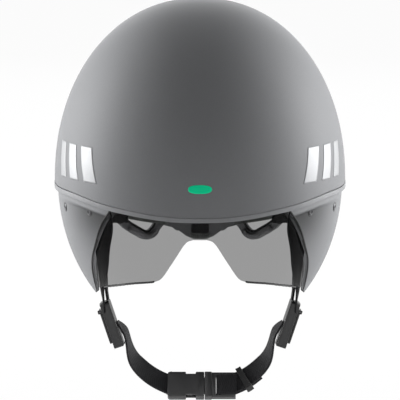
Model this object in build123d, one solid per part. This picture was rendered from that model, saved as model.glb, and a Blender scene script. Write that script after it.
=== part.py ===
from build123d import *
from functools import cache
from math import copysign, cos, pi, radians, sin, sqrt
import os

# Aero time trial helmet. Millimetres, front towards -Y, left (of the picture) towards -X, up +Z.
# The origin lies in the head space: on the middle plane, at brow height, above the ears.

# Outer form
half_width = 103.0          # widest half breadth of the shell
widest_z = 14.0             # height of the widest outline
crown_z = 141.0             # top of the shell
front_reach = 123.0         # from centre_y to the foremost point
rear_reach = 172.0          # from centre_y to the point of the uncut tail
centre_y = 5.0              # where the front and rear halves of an outline meet
tail_y = 158.0              # where the tail is cut off
skirt_curve = 119.0         # half height of the curve that draws the ear covers in
skirt_depth = 82.0          # how far the form runs below its widest outline
skirt_rear_reach = 115.0    # rear reach at the bottom of the ear covers
roundness = 2.2             # exponent of the superellipse outlines
dome_roundness = 2.1        # exponent of the dome, seen from the front
far = 400.0                 # overrun of cutting bodies

# Shell, rim and liner
shell_wall = 2.0
layer_gap = 0.15            # between two nested layers
rim_wall = 2.5
rim_height = 3.5
liner_lip = 3.0             # how far the liner runs down inside the rim
liner_side = 19.0           # liner thickness at the side
liner_front = 19.0
liner_crown = 22.0
head_rear_reach = 100.0     # rear reach of the head space
head_depth = 110.0          # how far the head space is cut below the widest outline

# Lower edge of the shell, seen from the side: shares of front_reach and of crown_z
edge_shares = ((-1.10, -0.020), (-0.951, 0.014), (-0.87, 0.040), (-0.775, 0.058), (-0.61, 0.083),
               (-0.285, 0.090), (0.16, 0.091), (0.65, 0.070), (1.06, 0.030), (1.50, 0.004))

# Tail panel
panel_thickness = 3.6
panel_inset = 0.4
vent_count = 5
vent_width = 9.0
vent_height = 34.0
vent_pitch = 14.0
vent_rise = 12.0            # from the shell's edge to the vents
channel_width = 16.0
channel_height = 15.0
channel_pitch = 24.0
channel_z = 34.0

# Ear covers
cover_wall = 2.5
cover_gap = 0.3
cover_front_shares = ((-0.800, 0.110), (-0.762, 0.023), (-0.726, -0.019), (-0.683, -0.073), (-0.616, -0.156),
                      (-0.546, -0.223), (-0.453, -0.311), (-0.370, -0.380), (-0.300, -0.424))
cover_bottom_shares = ((-0.300, -0.424), (-0.150, -0.462), (0.060, -0.474), (0.310, -0.437), (0.620, -0.325),
                       (0.900, -0.165), (1.120, -0.020), (1.160, 0.110))
seal_width = 1.2
seal_depth = 2.8
tab_thickness = 3.5
tab_width = 10.0
tab_drop = 8.0              # tab end below the screw
tab_rise = 16.0             # tab top above the screw, inside the liner
screw_shares = ((-0.640, -0.001), (-0.343, -0.004))
screw_head_radius = 2.6
screw_head_depth = 1.5
screw_radius = 1.5
screw_length = 5.4
screw_sink = 0.25
hole_clearance = 0.06

# Visor
lens_inset = 4.2            # from the outer form to the outer face of the lens
lens_wall = 2.0
lens_side_gap = 0.5         # between the lens and the cover seal
lens_top_gap = 0.6          # between the lens and the rim
lens_half_shares = ((0.301, -0.318), (0.466, -0.340), (0.621, -0.377), (0.700, -0.412), (0.760, -0.450))
nose_top_z = -13.4
nose_top_half = 8.6
nose_bottom_half = 27.4
nose_top_radius = 9.0
nose_bottom_radius = 13.0
magnet_radius = 3.0
magnet_thickness = 1.6
magnet_gap = 0.3
magnet_seat = 0.8           # wall behind each magnet
holder_radius = 3.6
bracket_shares = (-0.530, 0.0, 0.530)   # places across the lens, as shares of half_width
bracket_width = 11.0
bracket_depth = 5.5
bracket_height = 7.6
bracket_root = 9.0          # how far a bracket runs up into the liner
magnet_drop = 5.5           # magnet axis below the lens's top edge

# Pads
pad_thickness = 5.0
pad_gap = 0.3
brow_half_span = 54.0
brow_low_z = 14.0
brow_height = 22.0
side_pad_length = 52.0
side_pad_height = 24.0
side_pad_y = 8.0
side_pad_z = 44.0
crown_pad_length = 92.0
crown_pad_width = 20.0
crown_pad_pitch = 34.0
pad_corner = 6.0

# Straps
web_width = 15.0
web_thickness = 1.6
strap_drop = 132.0          # from the origin down to the buckle
front_strap_shares = ((-0.638, -0.540, 0.105), (-0.618, -0.505, -0.010), (-0.614, -0.455, -0.095),
                      (-0.642, -0.385, -0.190), (-0.664, -0.305, -0.280), (-0.668, -0.230, -0.365),
                      (-0.674, -0.165, -0.450))
front_strap_turn_shares = (-0.66, -0.66, -0.64, -0.60, -0.50, -0.36, -0.16, 0.0)
rear_strap_shares = ((-0.640, 0.660, 0.100), (-0.650, 0.642, 0.015), (-0.688, 0.570, -0.070),
                     (-0.722, 0.465, -0.165), (-0.716, 0.340, -0.262), (-0.690, 0.215, -0.345),
                     (-0.664, 0.105, -0.425), (-0.650, 0.020, -0.495))
rear_strap_turn_shares = (0.50, 0.48, 0.36, 0.26, 0.18, 0.10, 0.04, 0.0, 0.0)
strap_spread_share = 0.18   # of the divider's width, by which its two upper straps stand apart
chin_strap_shares = ((-0.572, -0.088, -0.662), (-0.522, -0.094, -0.706), (-0.496, -0.104, -0.760),
                     (-0.477, -0.118, -0.811), (-0.446, -0.136, -0.863), (-0.385, -0.153, -0.916),
                     (-0.300, -0.163, -0.962), (-0.215, -0.165, -0.992))
anchor_width = 18.0
anchor_length = 9.0
anchor_thickness = 5.0
web_clearance = 0.3

# Strap dividers
divider_width = 22.0
divider_length = 34.0
divider_thickness = 6.8
divider_shares = (-0.606, -0.080, -0.675)
divider_lean_shares = (-0.34, 0.10, 1.0)
divider_corner = 2.5
lever_width = 14.0
lever_length = 24.0
lever_thickness = 1.8
lever_barrel_radius = 1.4
lever_gap = 0.3
lever_pin_radius = 0.7
lever_pin_place = 11.0      # from the divider's middle up to its pin
ear_width = 2.0

# Buckle
buckle_width = 18.6
buckle_waist = 1.6          # how far each side is drawn in at the windows
buckle_thickness = 8.0
buckle_tilt = -33.0
female_length = 26.0
male_body_length = 5.0
male_ladder_length = 17.0
mouth_x = 3.0
mouth_gap = 0.3
tongue_space_width = 14.6
tongue_space_depth = 15.0
tongue_space_height = 4.6
prong_width = 2.4
prong_height = 3.8
prong_length = 12.5
prong_gap = 0.4
barb_length = 4.0
barb_width = 1.4
window_length = 7.0
buckle_corner = 2.0
bar_width = 3.0
buckle_y_share = -0.165
keeper_wall = 0.9
keeper_shares = (0.75, 0.20)
tail_offset = 2.5

# Fit bands and rear cradle
band_thickness = 1.8
band_height = 8.0
band_head_gap = 12.0        # from the liner's side to the middle of the band
band_z = -12.0
pivot_y = -30.0
band_end_share = 0.35       # rear end of the band, as a share of head_rear_reach
band_nose = 6.0             # band beyond its pivot
pivot_radius = 2.0
pivot_head_radius = 3.4
pivot_head = 1.2
pivot_clearance = 0.06
anchor_tab_length = 12.0
anchor_tab_thickness = 3.2
anchor_tab_top_z = 22.0
anchor_foot_z = 11.0        # underside of the foot that reaches the liner
anchor_seat = 2.0           # depth of that foot in the liner
anchor_tab_bottom = 6.0     # tab end below the pivot
sleeve_start_share = 0.15
sleeve_wall = 1.2
sleeve_gap = 0.2
sleeve_end_share = 0.47
arm_thickness = 2.4
arm_height = 7.0
arm_shares = ((-0.860, 0.440, -0.086), (-0.822, 0.525, -0.106), (-0.738, 0.620, -0.166),
              (-0.646, 0.720, -0.227), (-0.563, 0.795, -0.264), (-0.483, 0.850, -0.286),
              (-0.428, 0.878, -0.270), (-0.388, 0.896, -0.238), (-0.330, 0.915, -0.210),
              (-0.220, 0.935, -0.196), (-0.100, 0.945, -0.194), (0.0, 0.948, -0.194))
cradle_pad_thickness = 3.0
arm_section_count = 20
pad_sections = slice(7, 13)  # the arm's sections that carry a pad
plate_thickness = 2.2
plate_shares = ((0.70, 0.64), (1.0, 0.55), (1.42, 0.22), (1.36, -0.12), (0.90, -0.23), (0.72, -0.34),
                (0.50, -0.50), (0.22, -0.62))
housing_width = 42.0
housing_height = 22.0
housing_depth = 5.0
housing_cover_depth = 4.0
housing_head_gap = 4.0      # from the housing's front face to the liner's rear wall
dial_z = -31.5
housing_rise = 3.5          # housing middle above the dial's axis
window_width = 13.4
window_height = 6.0
window_z_below = 5.5
knob_radius = 13.5
knob_depth = 8.0
knob_gap = 0.3
knob_groove_count = 36
knob_groove_radius = 0.7
knob_dish_radius = 8.0
knob_dish_depth = 1.2
shaft_radius = 2.2
shaft_clearance = 0.06
pinion_teeth = 8
pinion_module = 1.0
pinion_width = 2.6
rack_back = 2.0
rack_teeth = 8
rack_clearance = 0.25
tooth_backlash = 0.45
dial_screw_radius = 1.1
dial_screw_head_radius = 3.0
dial_screw_head = 1.0
housing_screw_radius = 0.9
housing_screw_head_radius = 1.7
housing_screw_head = 0.8
housing_screw_x = 18.0

# Sections of a form: shares of a right angle from the widest outline to the crown
rise_shares = (0.13, 0.26, 0.39, 0.52, 0.64, 0.75, 0.84, 0.91, 0.96, 0.985)
outline_count = 24

head_half_width = half_width - shell_wall - liner_side
head_front_reach = front_reach - shell_wall - liner_front
head_crown_z = crown_z - shell_wall - liner_crown
band_x = head_half_width - band_head_gap
band_end_y = centre_y + band_end_share * head_rear_reach
sleeve_start_y = centre_y + sleeve_start_share * head_rear_reach
sleeve_end_y = centre_y + sleeve_end_share * head_rear_reach
housing_y = centre_y + head_rear_reach - housing_head_gap


def outline(width, front, rear, z):
    """Closed level outline: a superellipse with its own reach to the front and to the rear."""
    points = []
    for step in range(outline_count):
        turn = 2 * pi * step / outline_count
        across = copysign(abs(cos(turn)) ** (2 / roundness), cos(turn))
        along = copysign(abs(sin(turn)) ** (2 / roundness), sin(turn))
        reach = rear if along > 0 else front
        points.append(Vector(width * across, centre_y + reach * along, z))
    steps = [step / outline_count for step in range(outline_count + 1)]
    return Wire([Edge.make_spline(points, periodic=True, parameters=steps)])


def dome_outlines(width, front, rear, crown):
    """Outlines from just above the widest one up to a small one near the crown."""
    wires = []
    for share in rise_shares:
        angle = share * pi / 2
        rise = sin(angle) ** (2 / dome_roundness)
        draw = cos(angle) ** (2 / dome_roundness)
        z = widest_z + (crown - widest_z) * rise
        wires.append(outline(width * draw, front * draw, rear * sqrt(1 - rise ** 2), z))
    return wires


def skirt_scale(z):
    """Share of the widest half breadth that is left at height z below the widest outline."""
    return sqrt(1 - ((widest_z - z) / skirt_curve) ** 2)


def skirt_rear(z, inset):
    """Rear reach at height z below the widest outline."""
    depth = (widest_z - z) / skirt_depth
    return (rear_reach - inset) + (skirt_rear_reach - rear_reach) * depth ** 2


@cache
def outer_form(inset, extra=0):
    """Solid inside the helmet's outer face, drawn in by inset; extra lengthens it below."""
    wires = []
    steps = 6
    for step in range(steps):
        z = widest_z - (skirt_depth + extra) * (1 - step / (steps - 1))
        scale = skirt_scale(z)
        width = (half_width - inset) * scale
        wires.append(outline(width, (front_reach - inset) * scale, skirt_rear(z, inset), z))
    wires += dome_outlines(half_width - inset, front_reach - inset, rear_reach - inset, crown_z - inset)
    return Solid.make_loft(wires)


@cache
def head_form(inset, extra=0):
    """Solid of the head space, drawn in by inset; it runs straight down from its widest outline."""
    width = head_half_width - inset
    front = head_front_reach - inset
    rear = head_rear_reach - inset
    bottom = widest_z - head_depth - extra
    wires = [outline(width, front, rear, bottom), outline(width, front, rear, (bottom + widest_z) / 2)]
    wires += [outline(width, front, rear, widest_z)]
    wires += dome_outlines(width, front, rear, head_crown_z - inset)
    return Solid.make_loft(wires)


@cache
def layer(outer_inset, thickness):
    """Curved wall between two insets of the outer form."""
    return outer_form(outer_inset) - outer_form(outer_inset + thickness, shell_wall)


def side_prism(edges):
    """Prism across the helmet whose section in the side view is bounded by the edges."""
    return extrude(Plane.YZ * make_face(edges), amount=far, both=True)


def side_points(shares, drop=0):
    """Points in the side view from shares of front_reach and crown_z."""
    return [(along * front_reach, up * crown_z - drop) for along, up in shares]


@cache
def above_edge(drop=0):
    """Everything above the shell's lower edge line, moved down by drop."""
    points = side_points(edge_shares, drop)
    line = Spline(*points)
    lid = Polyline(points[-1], (far, points[-1][1]), (far, far), (-far, far), (-far, points[0][1]), points[0])
    return side_prism([line, lid])


def block(low, high):
    """Box between two corners."""
    size = [b - a for a, b in zip(low, high)]
    middle = [(a + b) / 2 for a, b in zip(low, high)]
    return Pos(*middle) * Box(*size)


def left_of(part):
    """The part's left half."""
    return part & block((-far, -far, -far), (0, far, far))


def mirrored(part):
    """The right-hand twin of a left-hand part."""
    return mirror(part, about=Plane.YZ)


def form_point(along, z, inset):
    """Point on the left of the outer form at a place along Y and a height, with its outward direction."""
    scale = skirt_scale(min(z, widest_z))
    width = (half_width - inset) * scale
    front = (front_reach - inset) * scale
    share = abs(along - centre_y) / front
    x = -width * (1 - share ** roundness) ** (1 / roundness)
    nx = -(abs(x) / width) ** (roundness - 1) / width
    ny = -(share ** (roundness - 1)) / front
    return Vector(x, along, z), Vector(nx, ny, 0).normalized()


def front_y(x, z, inset):
    """Y of the outer form's front at a place across and a height below its widest outline."""
    scale = skirt_scale(z)
    share = abs(x) / ((half_width - inset) * scale)
    return centre_y - (front_reach - inset) * scale * (1 - share ** roundness) ** (1 / roundness)


def outer_shell():
    """Thin moulded skin, open below and at the cut-off tail."""
    skin = layer(0, shell_wall) & above_edge()
    return skin & block((-far, -far, -far), (far, tail_y, far))


def shell_lower_rim():
    """Narrow band set in under the shell's edge."""
    band = layer(shell_wall + layer_gap, rim_wall) & above_edge(rim_height)
    band -= above_edge(layer_gap)
    return band & block((-far, -far, -far), (far, panel_front() - layer_gap, far))


def panel_front():
    """Front face of the tail panel."""
    return tail_y - panel_inset - panel_thickness


def tail_panel():
    """Flat panel that closes the tail, with upright vents."""
    slab = block((-far, panel_front(), -far), (far, tail_y - panel_inset, far))
    panel = outer_form(shell_wall + layer_gap) & slab & above_edge(rim_height)
    foot = edge_shares[-2][1] * crown_z + vent_rise
    for step in range(vent_count):
        x = (step - (vent_count - 1) / 2) * vent_pitch
        height = vent_height * (1 - (abs(x) / half_width) ** roundness)
        slot = extrude(Plane.XZ * SlotOverall(height, vent_width, rotation=90), amount=far, both=True)
        panel -= Pos(x, 0, foot + vent_height / 2) * slot
    return panel


def cover_outline():
    """Side view of an ear cover, open at the top where the rim line cuts it."""
    front = side_points(cover_front_shares)
    bottom = side_points(cover_bottom_shares)
    return [Spline(*front), Spline(*bottom), Line(bottom[-1], front[0])]


def ear_cover():
    """Curved panel below the rim, over the ear; left-hand one."""
    cover = layer(shell_wall + layer_gap, cover_wall) & side_prism(cover_outline())
    cover = left_of(cover - above_edge(rim_height + cover_gap))
    for screw in cover_screw_places():
        cover -= screw_solid(*screw, hole_clearance)
    return cover


def cover_edge_seal():
    """Black strip along the front edge of an ear cover; left-hand one."""
    inner = side_points(cover_front_shares)
    outer = [(y - seal_width, z) for y, z in inner]
    section = [Spline(*inner), Line(inner[-1], outer[-1]), Spline(*outer), Line(outer[0], inner[0])]
    seal = layer(shell_wall + layer_gap, seal_depth) & side_prism(section)
    return left_of(seal - above_edge(rim_height + cover_gap))


def cover_screw_places():
    """Place and outward direction of each ear cover screw on the left."""
    places = []
    for along, up in screw_shares:
        places.append(form_point(along * front_reach, up * crown_z, shell_wall + layer_gap))
    return places


def screw_solid(point, direction, clearance=0):
    """Button-head screw through an ear cover into its tab."""
    top = point - direction * (screw_sink - clearance)
    seat = Plane(origin=top, z_dir=-direction)
    head = Cylinder(screw_head_radius + clearance, screw_head_depth + clearance,
                    align=(Align.CENTER, Align.CENTER, Align.MIN))
    shank = Cylinder(screw_radius + clearance, screw_length + clearance,
                     align=(Align.CENTER, Align.CENTER, Align.MIN))
    if not clearance:
        socket = extrude(RegularPolygon(screw_radius * 0.8, 6), screw_head_depth * 0.6)
        return seat * (head + shank - socket)
    return seat * (head + shank)


def cover_tabs():
    """Screw tabs that hang from the liner behind the ear covers; left-hand ones."""
    wall = layer(shell_wall + layer_gap + cover_wall + layer_gap, tab_thickness)
    tabs = []
    for point, direction in cover_screw_places():
        seat = Plane(origin=point, x_dir=Vector(0, 0, 1).cross(direction), z_dir=direction)
        size = tab_rise + tab_drop
        piece = wall & (seat * Pos(0, (tab_rise - tab_drop) / 2, 0) * Box(tab_width, size, far / 8))
        piece = left_of(piece)
        tabs.append(piece - screw_solid(point, direction, hole_clearance))
    return tabs


def lens_top_drop():
    """How far the lens's top edge lies below the shell's edge line."""
    return rim_height + lens_top_gap


def visor_lens():
    """Curved tinted lens with a nose cut-out."""
    half = [(x * half_width, z * crown_z) for x, z in lens_half_shares]
    floor_z = half[0][1]
    right = Polyline(*half, (half[-1][0], far), (0, far))
    left = Polyline(*[(-x, z) for x, z in half], (-half[-1][0], far), (0, far))
    front = make_face([right, left, Line((-half[0][0], floor_z), half[0])])
    notch = Polyline((-half[0][0] * 2, floor_z * 2), (-half[0][0] * 2, floor_z), (-nose_bottom_half, floor_z),
                     (-nose_top_half, nose_top_z), (nose_top_half, nose_top_z), (nose_bottom_half, floor_z),
                     (half[0][0] * 2, floor_z), (half[0][0] * 2, floor_z * 2), close=True)
    nose = make_face(notch)
    tops = [v for v in nose.vertices() if abs(v.Y - nose_top_z) < layer_gap]
    nose = fillet(tops, nose_top_radius)
    feet = [v for v in nose.vertices()
            if abs(abs(v.X) - nose_bottom_half) < layer_gap and abs(v.Y - floor_z) < layer_gap]
    nose = fillet(feet, nose_bottom_radius)
    notch_prism = extrude(Plane.XZ * nose, amount=far, both=True)
    shape = extrude(Plane.XZ * front, amount=far)
    opening = cover_front_region(seal_width + lens_side_gap)
    lens = layer(lens_inset, lens_wall) & shape & opening
    lens -= notch_prism
    return lens - above_edge(lens_top_drop())


def cover_front_region(shift):
    """Everything in front of an ear cover's front edge, moved forward by shift."""
    points = [(y - shift, z) for y, z in side_points(cover_front_shares)]
    line = Spline(*points)
    corners = [(points[-1][0], -far), (-far, -far), (-far, far), (points[0][0], far)]
    lid = Polyline(points[-1], *corners, points[0])
    return side_prism([line, lid])


def magnet_places():
    """Middle of each lens magnet's inner face; its axis runs along Y."""
    places = []
    inset = lens_inset + lens_wall
    for share in bracket_shares:
        x = share * half_width
        z = edge_height(front_y(x, 0, inset)) - lens_top_drop() - magnet_drop
        deepest = front_y(abs(x) + holder_radius, z - holder_radius, inset)
        places.append((x, deepest + magnet_seat + magnet_thickness, z))
    return places


def edge_height(y):
    """Height of the shell's lower edge line at a place along, on straight runs between its points."""
    points = side_points(edge_shares)
    for (y0, z0), (y1, z1) in zip(points, points[1:]):
        if y <= y1:
            return z0 + (z1 - z0) * (y - y0) / (y1 - y0)
    return points[-1][1]


def y_disc(place, radius, length):
    """Disc or rod along Y that starts at a place and runs to the rear."""
    x, y, z = place
    start = Plane(origin=(x, y, z), z_dir=(0, 1, 0))
    return start * Cylinder(radius, length, align=(Align.CENTER, Align.CENTER, Align.MIN))


def visor_magnets():
    """Discs in the holders on the lens."""
    discs = []
    for x, y, z in magnet_places():
        discs.append(y_disc((x, y - magnet_thickness, z), magnet_radius, magnet_thickness))
    return discs


def visor_magnet_holders():
    """Cups on the lens's inner face that hold its magnets."""
    inner = outer_form(lens_inset + lens_wall + layer_gap / 2)
    holders = []
    for (x, y, z), magnet in zip(magnet_places(), visor_magnets()):
        cup = y_disc((x, y - far / 10, z), holder_radius, far / 10)
        holders.append((cup & inner) - magnet)
    return holders


def visor_brackets():
    """Blocks that hang from the liner's front edge and carry the fixed magnets."""
    brackets = []
    for x, y, z in magnet_places():
        top = z + bracket_height / 2 + bracket_root
        low = (x - bracket_width / 2, y + magnet_gap, z - bracket_height / 2)
        high = (x + bracket_width / 2, y + magnet_gap + bracket_depth, top)
        body = block(low, high)
        body = fillet(body.edges().filter_by(Axis.Y).sort_by(Axis.Z)[:2], magnet_seat)
        brackets.append(body - bracket_magnet((x, y, z)))
    return brackets


def bracket_magnet(place):
    """Disc let into the front face of a bracket."""
    x, y, z = place
    return y_disc((x, y + magnet_gap, z), magnet_radius, magnet_thickness)


def bracket_magnets():
    """The fixed magnets."""
    return [bracket_magnet(place) for place in magnet_places()]


def strap_frames(places, turns):
    """Place, width direction and face direction of each section of a strap."""
    frames = []
    last = len(places) - 1
    for step, place in enumerate(places):
        run = (places[min(step + 1, last)] - places[max(step - 1, 0)]).normalized()
        width = turns[step]
        width = (width - run * width.dot(run)).normalized()
        frames.append((place, width, run.cross(width)))
    return frames


def ribbon(frames, width, thickness, offset=0):
    """Flat strip through a list of sections."""
    wires = []
    for place, across, face in frames:
        middle = place + face * offset
        corners = []
        for a, b in ((-1, -1), (1, -1), (1, 1), (-1, 1)):
            corners.append(middle + across * (a * width / 2) + face * (b * thickness / 2))
        wires.append(Wire.make_polygon(corners, close=True))
    return Solid.make_loft(wires)


def strap_places(shares):
    """Points of a strap from shares of half_width, front_reach and strap_drop."""
    return [Vector(x * half_width, y * front_reach, z * strap_drop) for x, y, z in shares]


def level_direction(share):
    """Level width direction of a strap: the share is its lean from straight back towards the middle."""
    return Vector(share, sqrt(1 - share ** 2), 0)


def strap_end(side):
    """Last point of a strap, inside its divider; side is 1 for the front strap and -1 for the rear one."""
    offset = side * (web_thickness / 2 + 2 * web_clearance)
    along = divider_length / 2 - 2 * divider_corner
    place = Vector(side * strap_spread_share * divider_width, along, offset)
    return [divider_plane().from_local_coords(place)]


def front_strap_frames():
    """Sections of the left front strap."""
    turns = [level_direction(lean) for lean in front_strap_turn_shares]
    return strap_frames(strap_places(front_strap_shares) + strap_end(1), turns)


def rear_strap_frames():
    """Sections of the left rear strap."""
    turns = [level_direction(lean) for lean in rear_strap_turn_shares]
    return strap_frames(strap_places(rear_strap_shares) + strap_end(-1), turns)


def anchor_plug(frames):
    """Plug in the liner that a strap comes out of."""
    place, across, face = frames[0]
    run = (frames[1][0] - place).normalized()
    seat = Plane(origin=place + run * (anchor_length / 2), x_dir=across, z_dir=run)
    return seat * Box(anchor_width, anchor_thickness, anchor_length)


def upper_strap(frames):
    """Strap from its plug to its divider."""
    strap = ribbon(frames, web_width, web_thickness)
    return strap - anchor_plug(frames) - divider_plane() * divider_block()


def chin_strap(limit_x):
    """Chin strap from its divider to a limit across the buckle; left-hand one."""
    strap = ribbon(chin_frames(), web_width, web_thickness)
    strap -= divider_plane() * divider_block()
    return strap - buckle_plane() * block((limit_x, -far, -far), (far, far, far))


def divider_plane():
    """Plane of the left divider: x across the straps, y up along them, z outwards."""
    middle = Vector(divider_shares[0] * half_width, divider_shares[1] * front_reach,
                    divider_shares[2] * strap_drop)
    up = Vector(*divider_lean_shares).normalized()
    across = Vector(0, 1, 0)
    across = (across - up * across.dot(up)).normalized()
    return Plane(origin=middle, x_dir=-across, z_dir=(-across).cross(up))


def divider_block():
    """Plain block of a divider."""
    body = Box(divider_width, divider_length, divider_thickness)
    return fillet(body.edges().filter_by(Axis.Z), divider_corner)


def divider_body():
    """Strap divider with its lever ears."""
    body = divider_block()
    face = divider_thickness / 2
    pin_z = face + lever_gap + lever_barrel_radius
    for hand in (-1, 1):
        inner = hand * (lever_width / 2 + lever_gap)
        outer = inner + hand * ear_width
        low = (min(inner, outer), lever_pin_place - lever_barrel_radius, face)
        high = (max(inner, outer), lever_pin_place + lever_barrel_radius, pin_z + lever_barrel_radius)
        body += block(low, high)
    return body - lever_pin(lever_pin_radius)


def lever_pin(radius):
    """Pin across the ears."""
    pin_z = divider_thickness / 2 + lever_gap + lever_barrel_radius
    length = lever_width + 2 * (lever_gap + ear_width)
    return Pos(0, lever_pin_place, pin_z) * Rot(0, 90, 0) * Cylinder(radius, length)


def divider_lever():
    """Cam lever that swings out from the divider's face."""
    pin_z = divider_thickness / 2 + lever_gap + lever_barrel_radius
    barrel = Pos(0, lever_pin_place, pin_z) * Rot(0, 90, 0) * Cylinder(lever_barrel_radius, lever_width)
    low = (-lever_width / 2, lever_pin_place - lever_length, pin_z - lever_barrel_radius)
    high = (lever_width / 2, lever_pin_place, pin_z - lever_barrel_radius + lever_thickness)
    plate = block(low, high)
    plate = fillet(plate.edges().filter_by(Axis.Z).sort_by(Axis.Y)[:2], divider_corner)
    return barrel + plate - lever_pin(lever_pin_radius + hole_clearance)


def chin_frames():
    """Sections of the left chin strap, from the divider to the buckle."""
    places = strap_places(chin_strap_shares)
    start = divider_plane().x_dir * -1
    end = buckle_plane().y_dir
    last = len(places) - 1
    shares = [sqrt(step / last) for step in range(last + 1)]
    return strap_frames(places, [start * (1 - share) + end * share for share in shares])


def buckle_plane():
    """Plane of the buckle: x to the right, y up the strap's width, z forward."""
    place = (0, buckle_y_share * front_reach, -strap_drop)
    tilt = radians(buckle_tilt)
    return Plane(origin=place, x_dir=(1, 0, 0), z_dir=(0, -cos(tilt), -sin(tilt)))


def buckle_female():
    """Receiving half of the buckle, hollow, with side windows and a strap pocket."""
    low_x = mouth_x - female_length
    half = buckle_width / 2
    body = block((low_x, -half, -buckle_thickness / 2), (mouth_x, half, buckle_thickness / 2))
    body = fillet(body.edges().filter_by(Axis.Z).sort_by(Axis.X)[:2], buckle_corner)
    hollow_half = tongue_space_width / 2
    body -= block((mouth_x - tongue_space_depth, -hollow_half, -tongue_space_height / 2),
                  (far, hollow_half, tongue_space_height / 2))
    window_x = mouth_x - tongue_space_depth + buckle_corner
    body -= block((window_x, -far, -tongue_space_height / 2),
                  (window_x + window_length, far, tongue_space_height / 2))
    for hand in (-1, 1):
        edges = sorted((hand * (half - buckle_waist), hand * far))
        body -= block((window_x, edges[0], -far), (window_x + window_length, edges[1], far))
    return body


def buckle_male():
    """Plug half of the buckle with two prongs, a tongue and a ladder adjuster."""
    half = buckle_width / 2
    start = mouth_x + mouth_gap
    shoulder = start + male_body_length
    end = shoulder + male_ladder_length
    body = block((start, -half, -buckle_thickness / 2), (shoulder, half, buckle_thickness / 2))
    body += block((shoulder, -half, -buckle_thickness / 2 + bar_width / 2),
                  (end, half, buckle_thickness / 2 - bar_width / 2))
    prong_outer = tongue_space_width / 2 - prong_gap
    for hand in (-1, 1):
        edges = sorted((hand * (prong_outer - barb_width), hand * (prong_outer - barb_width - prong_width)))
        body += block((start - prong_length, edges[0], -prong_height / 2),
                      (start, edges[1], prong_height / 2))
        barb = sorted((hand * prong_outer, hand * (prong_outer - barb_width - prong_width)))
        body += block((start - prong_length, barb[0], -prong_height / 2),
                      (start - prong_length + barb_length, barb[1], prong_height / 2))
    tongue = bar_width / 2
    body += block((start - prong_length + barb_length, -tongue, -prong_height / 2),
                  (start, tongue, prong_height / 2))
    gap_half = web_width / 2
    gap_low = shoulder + bar_width
    gap_high = gap_low + bar_width
    body -= block((gap_low, -gap_half, -far), (gap_high, gap_half, far))
    return body


def between(first, second, share):
    """Section part of the way from one section of a strap to the next."""
    return tuple(a + (b - a) * share for a, b in zip(first, second))


def strap_tail():
    """Loose strap end behind the right chin strap."""
    strap = ribbon(chin_frames()[-3:], web_width, web_thickness, -tail_offset)
    strap -= buckle_plane() * block((-male_end(), -far, -far), (far, far, far))
    return mirrored(strap)


def male_end():
    """Right-hand end of the buckle's plug half."""
    return mouth_x + mouth_gap + male_body_length + male_ladder_length


def keeper_ring():
    """Ring that holds the loose strap end against the right chin strap."""
    first, second, last = chin_frames()[-3:]
    frames = [between(first, second, keeper_shares[0]), second, between(second, last, keeper_shares[1])]
    width = web_width + 4 * web_clearance
    depth = tail_offset + web_thickness + 4 * web_clearance
    hole = ribbon(frames, width, depth, -tail_offset / 2)
    ring = ribbon(frames, width + 2 * keeper_wall, depth + 2 * keeper_wall, -tail_offset / 2)
    return mirrored(ring - hole)


def band_anchor():
    """Temple tab that carries a fit band's pivot; left-hand one."""
    half = anchor_tab_length / 2
    outer = band_x + band_thickness / 2 + sleeve_gap
    low = (-outer - anchor_tab_thickness, pivot_y - half, band_z - anchor_tab_bottom)
    high = (-outer, pivot_y + half, anchor_tab_top_z)
    tab = block(low, high)
    tab = fillet(tab.edges().filter_by(Axis.X).sort_by(Axis.Z)[:2], pad_corner * 0.7)
    foot = block((-far, pivot_y - half, anchor_foot_z), (-outer, pivot_y + half, anchor_tab_top_z))
    tab += foot & head_form(-anchor_seat)
    return tab - x_rod(-outer - far / 2, far, pivot_radius + hole_clearance)


def x_rod(start, length, radius):
    """Rod along X at the pivot."""
    seat = Plane(origin=(start, pivot_y, band_z), z_dir=(1, 0, 0))
    return seat * Cylinder(radius, length, align=(Align.CENTER, Align.CENTER, Align.MIN))


def pivot_pin():
    """Rivet through a temple tab and a fit band; left-hand one."""
    outer = -(band_x + band_thickness / 2 + sleeve_gap + anchor_tab_thickness)
    inner = -(band_x - band_thickness / 2 - sleeve_gap)
    shank = x_rod(outer, inner - outer, pivot_radius)
    return shank + x_rod(inner, pivot_head, pivot_head_radius)


def fit_band():
    """Flexible band from the temple back into the cradle's sleeve; left-hand one."""
    low = (-band_x - band_thickness / 2, pivot_y - band_nose, band_z - band_height / 2)
    high = (-band_x + band_thickness / 2, band_end_y, band_z + band_height / 2)
    band = block(low, high)
    band = fillet(band.edges().filter_by(Axis.X), band_height * 0.4)
    return band - x_rod(-band_x - band_thickness, 2 * band_thickness, pivot_radius + pivot_clearance)


def arm_places():
    """Points of the cradle's left arm, from its sleeve to the middle."""
    depth = band_x / abs(arm_shares[0][0])
    return [Vector(x * depth, y * head_rear_reach + centre_y, z * crown_z) for x, y, z in arm_shares]


def arm_frames():
    """Sections of the cradle's left arm, at even steps along a smooth line through its points."""
    path = Edge.make_spline(arm_places())
    frames = []
    for step in range(arm_section_count + 1):
        place = path.position_at(step / arm_section_count)
        run = path.tangent_at(step / arm_section_count)
        if step == arm_section_count:
            run = Vector(1, 0, 0)
        if step == 0:
            run = Vector(0, 1, 0)
        out = Vector(place.X / head_half_width ** 2, (place.Y - centre_y) / head_rear_reach ** 2, 0)
        out = (out - run * out.dot(run)).normalized()
        frames.append((place, out.cross(run), out))
    return frames


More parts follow.
